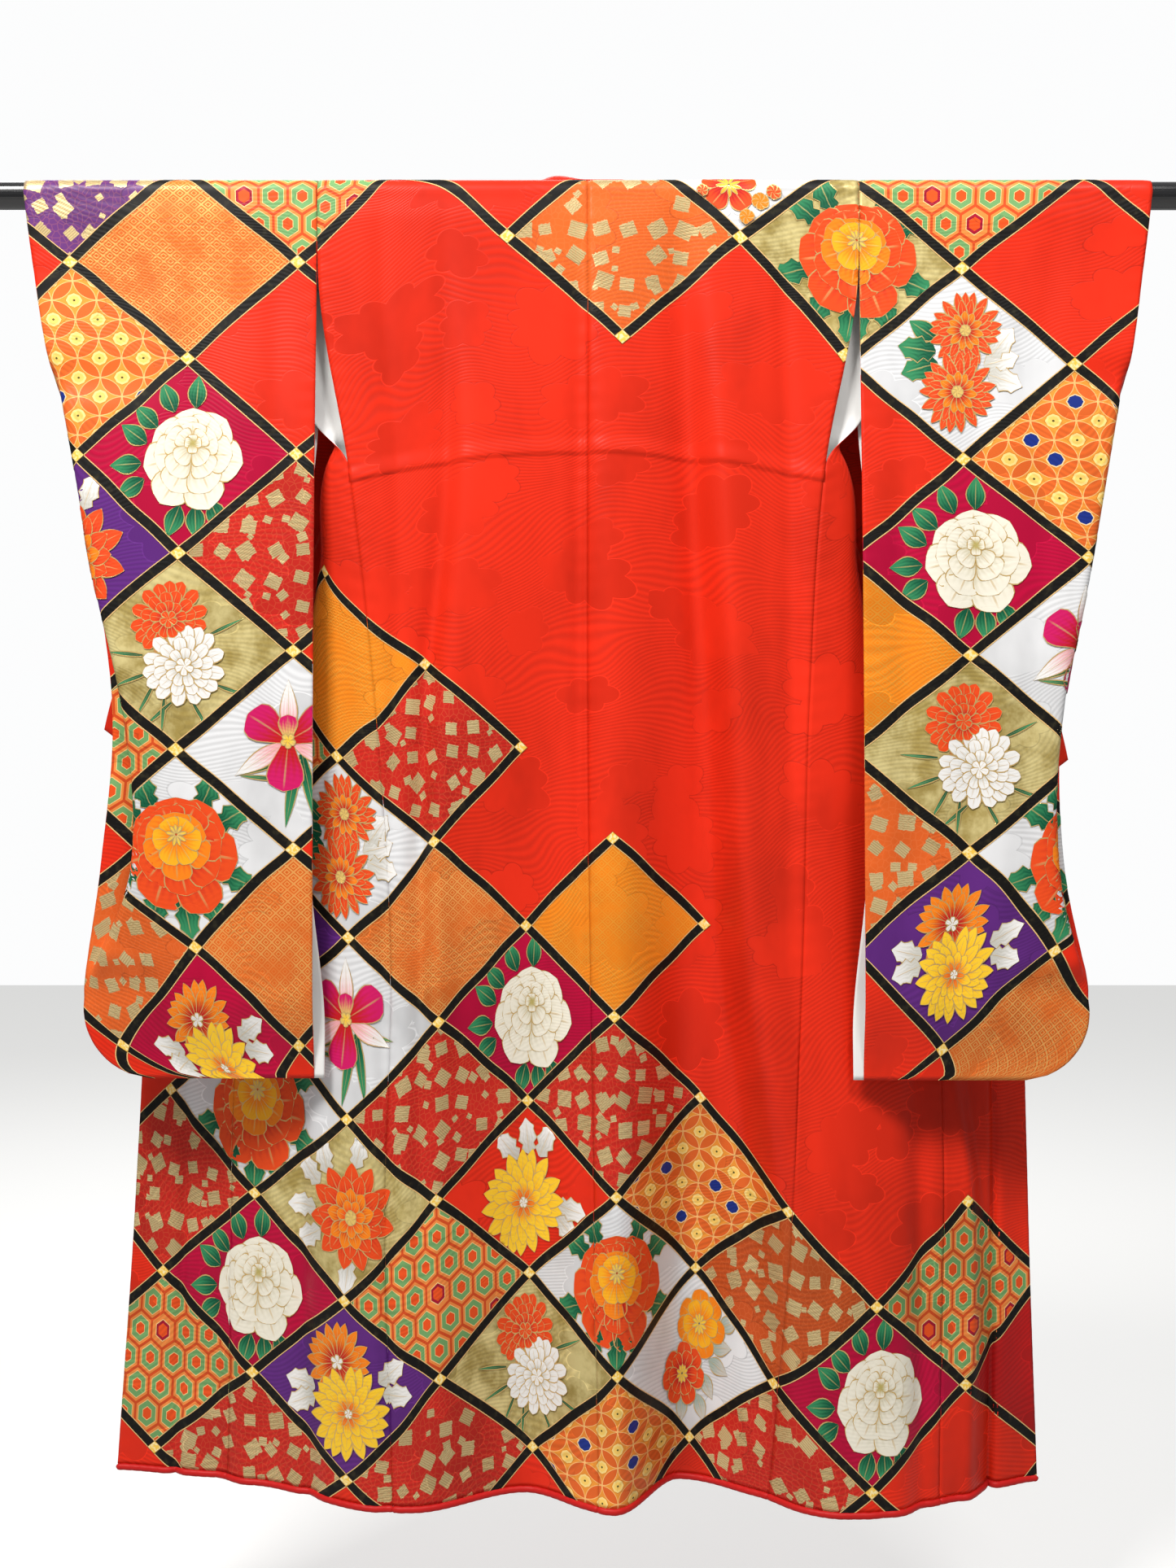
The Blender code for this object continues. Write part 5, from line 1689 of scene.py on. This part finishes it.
# Rings of a flower: number of petals, start, length and width of a petal in millimetres, its shape,
# and its colours at the heart and at the tip
FLOWERS = {
    "rose": (
        (7, 10, 38, 40, "curled", "cream shade", "cream"),
        (6, 8, 31, 36, "curled", "cream shade", "cream"),
        (5, 6, 23, 29, "curled", "cream shade", "cream"),
        (4, 3, 16, 21, "curled", "cream shade", "cream"),
        (4, 0, 9, 11, "round", "cream heart", "cream"),
    ),
    "red chrysanthemum": (
        (19, 8, 30, 11, "pointed", "deep red", "vermilion"),
        (16, 6, 24, 10, "pointed", "deep red", "vermilion"),
        (11, 4, 16, 9, "pointed", "deep red", "orange"),
        (6, 0, 6, 6, "round", "gold", "gold"),
    ),
    "orange chrysanthemum": (
        (18, 8, 30, 12, "pointed", "vermilion", "orange"),
        (14, 6, 23, 11, "pointed", "deep red", "orange"),
        (5, 0, 8, 6, "round", "white", "white"),
    ),
    "yellow chrysanthemum": (
        (18, 10, 34, 14, "pointed", "amber", "yellow"),
        (15, 7, 27, 13, "pointed", "amber", "yellow"),
        (10, 4, 18, 11, "pointed", "orange", "yellow"),
        (6, 1, 12, 6, "pointed", "vermilion", "orange"),
        (5, 0, 5, 5, "round", "white", "white"),
    ),
    "peony": (
        (7, 10, 42, 44, "frilled", "deep red", "vermilion"),
        (7, 8, 33, 36, "frilled", "deep red", "vermilion"),
        (6, 6, 25, 28, "frilled", "vermilion", "orange"),
        (6, 4, 18, 20, "frilled", "orange", "amber"),
        (9, 1, 9, 4, "pointed", "gold", "yellow"),
    ),
    "dahlia": (
        (11, 10, 38, 20, "pointed", "deep red", "vermilion"),
        (11, 8, 29, 18, "pointed", "deep red", "vermilion"),
        (9, 6, 21, 15, "pointed", "deep red", "orange"),
        (7, 4, 13, 11, "pointed", "vermilion", "orange"),
        (6, 0, 7, 7, "round", "gold", "gold"),
    ),
    "red carnation": (
        (15, 7, 27, 13, "frilled", "deep red", "vermilion"),
        (12, 5, 20, 12, "frilled", "deep red", "vermilion"),
        (9, 3, 14, 10, "frilled", "deep red", "vermilion"),
        (5, 0, 8, 7, "frilled", "vermilion", "vermilion"),
    ),
    "white carnation": (
        (15, 7, 28, 13, "frilled", "white heart", "white"),
        (12, 5, 21, 12, "frilled", "white heart", "white"),
        (9, 3, 14, 10, "frilled", "white heart", "white"),
        (5, 0, 8, 7, "frilled", "white", "white"),
    ),
    "orange camellia": (
        (7, 5, 26, 23, "round", "amber", "orange"),
        (6, 4, 19, 18, "round", "orange", "amber"),
        (10, 1, 9, 4, "pointed", "yellow", "yellow"),
    ),
    "red camellia": (
        (7, 5, 24, 21, "round", "deep red", "vermilion"),
        (6, 4, 17, 16, "round", "deep red", "vermilion"),
        (10, 1, 8, 4, "pointed", "yellow", "yellow"),
    ),
    "plum": (
        (5, 4, 21, 22, "round", "deep red", "vermilion"),
        (9, 1, 11, 4, "pointed", "yellow", "amber"),
    ),
    "berry": ((6, 0, 8, 8, "round", "orange", "orange"),),
    "red berry": ((6, 0, 7, 7, "round", "vermilion", "vermilion"),),
    "orchid": (
        (3, 4, 50, 17, "leaf", "pink", "white"),
        (3, 3, 41, 34, "frilled", "deep red", "magenta"),
        (1, 0, 24, 18, "frilled", "gold", "magenta"),
        (5, 0, 7, 6, "round", "yellow", "gold"),
    ),
}

# Flowers seen a little from the side: how far each ring lies above the one around it, in millimetres
LEANING = {"rose": 2.6, "peony": 3.2}
LOWER_PETALS_LONGER = 0.05

# Leaves: length and width in millimetres, shape, colours at the stalk and at the tip
LEAVES = {
    "green leaf": (30, 19, "leaf", "green", "pale green"),
    "lobed leaf": (36, 27, "lobed", "green", "pale green"),
    "white leaf": (34, 25, "lobed", "white heart", "white"),
    "grey leaf": (27, 17, "leaf", "grey green", "white heart"),
    "blade": (62, 11, "blade", "green", "pale green"),
    "thin blade": (34, 5, "blade", "green", "pale green"),
}

# Bunches: flowers with their place and scale, and leaves with the place of their stalk and their
# direction in degrees, all from the middle of the cell, in millimetres, rightwards and downwards
BUNCHES = {
    "white rose": (
        (("rose", 6, 0, 0.98),),
        (("green leaf", -42, 8, 176), ("green leaf", -38, 22, 146), ("green leaf", -38, -10, 214),
         ("green leaf", -2, 46, 108), ("green leaf", 26, 42, 62), ("green leaf", 12, 46, 84),
         ("green leaf", -12, -38, 246), ("green leaf", 8, -42, 276), ("green leaf", -28, -24, 222)),
    ),
    "two red chrysanthemums": (
        (("red chrysanthemum", 4, -30, 0.92), ("red chrysanthemum", -4, 26, 0.98)),
        (("white leaf", 22, 2, 345), ("white leaf", 26, 10, 20), ("white leaf", 28, -6, 310),
         ("lobed leaf", -24, -10, 190), ("lobed leaf", -22, 0, 165), ("green leaf", -24, -22, 215)),
    ),
    "two chrysanthemums": (
        (("orange chrysanthemum", -8, -24, 0.95), ("yellow chrysanthemum", 4, 20, 0.98)),
        (("white leaf", 36, -8, 330), ("white leaf", 40, 2, 10), ("white leaf", -34, 4, 190),
         ("white leaf", -34, 12, 160)),
    ),
    "yellow chrysanthemum": (
        (("yellow chrysanthemum", -6, 14, 1.12),),
        (("white leaf", 2, -30, 262), ("white leaf", 14, -28, 300), ("white leaf", -12, -26, 225),
         ("white leaf", 36, 14, 10), ("white leaf", 34, 24, 40)),
    ),
    "peony": (
        (("peony", 0, 0, 1.0),),
        (("lobed leaf", -34, -24, 215), ("lobed leaf", -22, -36, 245), ("lobed leaf", 22, -36, 295),
         ("lobed leaf", 36, -20, 330), ("lobed leaf", 20, 40, 65), ("lobed leaf", 0, 44, 92),
         ("lobed leaf", -22, 38, 120), ("lobed leaf", 38, 20, 25), ("lobed leaf", -40, 18, 160)),
    ),
    "dahlia": (
        (("dahlia", 8, 6, 1.02),),
        (("white leaf", -30, -20, 220), ("white leaf", -20, -30, 250), ("white leaf", -34, 2, 178),
         ("white leaf", -28, 20, 150), ("white leaf", 6, 42, 100), ("white leaf", 12, -38, 285)),
    ),
    "carnations": (
        (("red carnation", -6, -28, 1.0), ("white carnation", 8, 14, 1.05)),
        (("thin blade", -20, 30, 120), ("thin blade", -10, 40, 95), ("thin blade", -30, 4, 185),
         ("thin blade", 30, -14, 335), ("thin blade", 36, 30, 20), ("thin blade", -26, 20, 160),
         ("thin blade", 14, 44, 60), ("thin blade", -4, 46, 140)),
    ),
    "orchid": (
        (("orchid", -4, -8, 1.0),),
        (("blade", 8, 4, 78), ("blade", 4, 8, 100), ("thin blade", -18, 14, 165),
         ("thin blade", -14, 26, 185), ("thin blade", 18, 4, 10)),
    ),
    "camellias": (
        (("orange camellia", 8, -28, 1.05), ("red camellia", -14, 20, 1.05)),
        (("grey leaf", 22, 4, 20), ("grey leaf", 24, -8, 350), ("grey leaf", 14, 18, 55),
         ("grey leaf", -12, 40, 95), ("grey leaf", 8, 38, 65), ("grey leaf", 34, -28, 330)),
    ),
    "plum blossoms": (
        (("plum", -10, 44, 1.0), ("berry", 18, 56, 1.0), ("red berry", 30, 46, 1.0), ("berry", 34, 62, 0.8),
         ("berry", 6, 72, 0.9), ("red berry", -34, 50, 0.8)),
        (),
    ),
}


def petals(rows):
    """Grids of petals on the flat cloth. Each row of rows holds a petal's base, direction, length,
    width and shape. A petal is its length along its direction and its outline's width across it.
    """
    t = np.linspace(0.0, 1.0, PETAL_ROWS)[:, None]
    along = 1.0 - (1.0 - t) ** PETAL_CROWDING
    across = np.linspace(-1.0, 1.0, PETAL_COLUMNS)
    places, sheets = [], []
    for x, y, direction, length, width, shape in rows:
        stations, half_widths, frilled = PETAL_SHAPES[shape]
        half = np.maximum(track(stations, half_widths, along), 0.0) * width / 2
        fading = along**3 * (1.0 - along**FRILL_END)
        frill = 1.0 + frilled * FRILL * np.cos(2 * math.pi * FRILL_WAVES * across) * fading
        reach = along * length * frill
        sideways = across * half
        cosine, sine = math.cos(direction), math.sin(direction)
        right = x + cosine * reach - sine * sideways
        lower = y + sine * reach + cosine * sideways
        places.append(np.stack([right, lower], -1))
        sheets.append(np.stack(np.broadcast_arrays(across, along), -1))
    return np.array(places), np.array(sheets)


def bunch_petals(name):
    """All petals and leaves of a bunch: places, maps, lifts, and the colours at heart and tip. The
    alpha of each colour keeps where the gold outline starts, across and along."""
    rows, lifts, hearts, tips = [], [], [], []
    flowers, leaves = BUNCHES[name]
    for k, (kind, x, y, direction) in enumerate(leaves):
        length, width, shape, heart, tip = LEAVES[kind]
        rows.append((x / 1000, y / 1000, math.radians(direction), length / 1000, width / 1000, shape))
        lifts.append(LEAF_LEVEL * (k % 2))
        hearts.append((*INKS[heart], 1.0 - 2 * OUTLINE / (width / 1000)))
        tips.append((*INKS[tip], 1.0 - OUTLINE / (length / 1000)))
    for f, (kind, x, y, scale) in enumerate(flowers):
        size = scale / 1000
        lean = LEANING.get(kind, 0.0)
        for level, (count, start, length, width, shape, heart, tip) in enumerate(FLOWERS[kind]):
            for k in range(count):
                turn = 2 * math.pi * (k + 0.5 * (level % 2)) / count - math.pi / 2
                turn += TURN_UNEVENNESS * math.sin(5.0 * k + 3.0 * level + f)
                longer = 1.0 + LENGTH_UNEVENNESS * math.sin(7.0 * k + 2.0 * level)
                longer += LOWER_PETALS_LONGER * lean * math.sin(turn)
                rows.append((
                    x / 1000 + start * size * math.cos(turn),
                    y / 1000 + start * size * math.sin(turn) - level * lean * size,
                    turn, length * size * longer, width * size, shape,
                ))
                lifts.append(FIRST_RING_LEVEL + level + FLOWER_LEVEL * f)
                hearts.append((*INKS[heart], 1.0 - 2 * OUTLINE / (width * size)))
                tips.append((*INKS[tip], 1.0 - OUTLINE / (length * size)))
    places, sheets = petals(rows)
    lift = FLOWER_LIFT + RING_LIFT * np.array(lifts)[:, None, None] + PETAL_TILT * sheets[..., 0]
    whole = (*sheets.shape[:3], 4)
    spread = [np.broadcast_to(np.array(colours)[:, None, None], whole) for colours in (hearts, tips)]
    return places, sheets, lift, *spread


def lay_bunch(piece, region, cell, row, bunch, turned):
    """A bunch in a cell on the flat cloth, kept in the room between the bars by clipping its
    slanting coordinates, and without the petals that lie wholly off the piece."""
    places, sheets, lift, hearts, tips = bunch_petals(bunch)
    places = places + np.array(region.get("moved", {}).get(cell, (0.0, 0.0))) / BUNCH_SCALE
    mirrored = 1 if piece["signed"] else piece["side"]
    right = mirrored * BUNCH_SCALE * places[..., 0] / region["spacing"][0]
    lower = BUNCH_SCALE * places[..., 1] / region["spacing"][1]
    s = (cell[0] + row) / 2 + np.clip((right + lower) / 2, -BUNCH_ROOM, BUNCH_ROOM)
    t = (cell[0] - row) / 2 + np.clip((right - lower) / 2, -BUNCH_ROOM, BUNCH_ROOM)
    u, v = flat_of(region, s, t)
    if turned:
        u, v = turned_over(piece["side"], u, v)
    outward = u * piece["side"] if piece["signed"] else u
    near = np.full(len(u), True)
    for values, (least, most) in ((outward, piece["bounds"]), (v, piece["v_range"])):
        near &= (values > least).any(axis=(1, 2)) & (values < most).any(axis=(1, 2))
    return [values[near] for values in (u, v, lift, sheets, hearts, tips)]


def painted_colour(tree, name):
    """A colour kept in the mesh at each point, and its alpha."""
    made = tree.nodes.new("ShaderNodeAttribute")
    made.attribute_name = name
    return Field(tree, made.outputs["Color"]), Field(tree, made.outputs["Alpha"])


COUCHED_GOLD = (0.66, 0.44, 0.16, 1.0)

painted, tree, shader = material_tree("painted petals")
sheet, cloth = read_map(tree, "petal"), read_map(tree, "cloth")
across, along = sheet.part(0), sheet.part(1)
heart, outline_across = painted_colour(tree, "heart")
tip, outline_along = painted_colour(tree, "tip")
streaks = (across * 19.0 + cloth.noise(160.0, 1.0) * 3.0).maths("SINE") * 0.10
fade = (along + streaks).soft_step(0.10, 0.80)
drawn = across.maths("ABSOLUTE").over(outline_across).maths("MAXIMUM", along.over(outline_along))
rib = across.maths("ABSOLUTE").soft_step(0.07, 0.03) * along.soft_step(0.95, 0.70) * 0.5
gold_line = drawn.maths("MAXIMUM", rib)
heart.towards(tip, fade).towards(COUCHED_GOLD, gold_line).into(shader, "Base Color")
(gold_line * 0.4).into(shader, "Metallic")
(gold_line * -0.14 + 0.46).into(shader, "Roughness")
shader.inputs["Specular IOR Level"].default_value = SILK_SPECULAR
weave = use(tree, figured_weave, {"Cloth": cloth})
join_bump(shader, weave["Relief"] * 0.4 + gold_line * 0.9, 0.4, 0.0005)

for name, piece in PIECES.items():
    parts = []
    for region, first, last, turned in piece["regions"]:
        for cell, (ground, bunch) in region["cells"].items():
            if bunch is None:
                continue
            behind_too = region.get("repeats_behind") and cell[1] > 1
            for row in (cell[1], -cell[1]) if behind_too else (cell[1],):
                found = lay_bunch(piece, region, cell, row, bunch, turned)
                if len(found[0]):
                    parts.append(found)
    if parts:
        u, v, lift, sheets, hearts, tips = (np.concatenate(group) for group in zip(*parts))
        maps = {"petal": sheets, "cloth": np.stack([u, v], -1)}
        colours = {"heart": hearts, "tip": tips}
        skin_object(f"flowers_{name}", lay_on(piece, u, v, lift), maps, colours, painted)


# The hem: the red lining is turned out past the hem as a thin roll of padding, sewn down with
# stitches that pinch it. One roll runs along each panel.

ROLL_RADIUS = 0.0042
ROLL_SEATED = 0.0004
ROLL_OVERLAP = 0.005
ROLL_SIDES = 14
ROLL_PINCH = 0.07
PINCH_SPACING = 0.011
ROLL_SIDE_WIDTH = 0.0019


def roll_object(name, path, radius):
    """A closed tube along a path of points. Its radius falls to nothing in a quarter circle at both
    ends, and pinches in along a slanting wave where the stitches hold it."""
    tangent = unit(np.gradient(path, axis=0))
    first = unit(np.cross(tangent, (0.0, 0.0, 1.0)))
    second = np.cross(first, tangent)
    run = np.concatenate([[0.0], np.cumsum(np.linalg.norm(np.diff(path, axis=0), axis=1))])
    from_end = np.minimum(run, run[-1] - run)
    rounded = np.sqrt(1.0 - np.clip(1.0 - from_end / radius, 0.0, 0.96) ** 2)
    turn = np.arange(ROLL_SIDES) * 2 * math.pi / ROLL_SIDES
    pinch = 1.0 - ROLL_PINCH * (0.5 + 0.5 * np.sin(run[:, None] * 2 * math.pi / PINCH_SPACING + turn)) ** 3
    reach = (radius * rounded[:, None] * pinch)[..., None]
    around = np.cos(turn)[:, None] * first[:, None] + np.sin(turn)[:, None] * second[:, None]
    rings = path[:, None] + reach * around
    index = np.arange(rings.shape[0] * ROLL_SIDES).reshape(-1, ROLL_SIDES)
    after = np.roll(index, -1, axis=1)
    quads = np.stack([index[:-1], index[1:], after[1:], after[:-1]], -1).reshape(-1, 4)
    caps = np.stack([index[0], index[-1][::-1]])
    made = mesh_of(name, rings.reshape(-1, 3), [quads, caps], [hem_silk])
    round_it = np.stack(np.broadcast_arrays(np.arange(ROLL_SIDES + 1) * ROLL_SIDE_WIDTH, run[:, None]), -1)
    corners = [round_it[:-1, :-1], round_it[1:, :-1], round_it[1:, 1:], round_it[:-1, 1:]]
    corners = np.stack(corners, 2).reshape(-1, 2)
    caps_map = np.zeros((2 * ROLL_SIDES, 2))
    write_map(made, "cloth", np.concatenate([corners, caps_map]))
    write_map(made, "OFBake", np.concatenate([corners / corners.max(axis=0), caps_map + 0.5]))
    return made


for side, word in ((-1, "left"), (1, "right")):
    share = float(FRONT_WIDTH / front_width(np.array(BODY_LENGTH)))
    panels = {
        "back": (back_surface, 0.0, 1.0),
        "front": (front_surface, 0.0, share),
        "overlap": (front_surface, share, 1.0),
    }
    for panel, (surface, start, end) in panels.items():
        count = 2 * len(PIECES[f"{panel}_{word}"]["columns"])
        across = np.linspace(start - ROLL_OVERLAP, end + ROLL_OVERLAP, count)
        path = surface(side, across, np.full_like(across, BODY_LENGTH))
        path[:, 2] -= ROLL_RADIUS - ROLL_SEATED
        made = roll_object(f"silk_hem_{panel}_{word}", path, ROLL_RADIUS)
        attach(made, "root")
        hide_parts(f"hem_roll_{panel}_{word}")
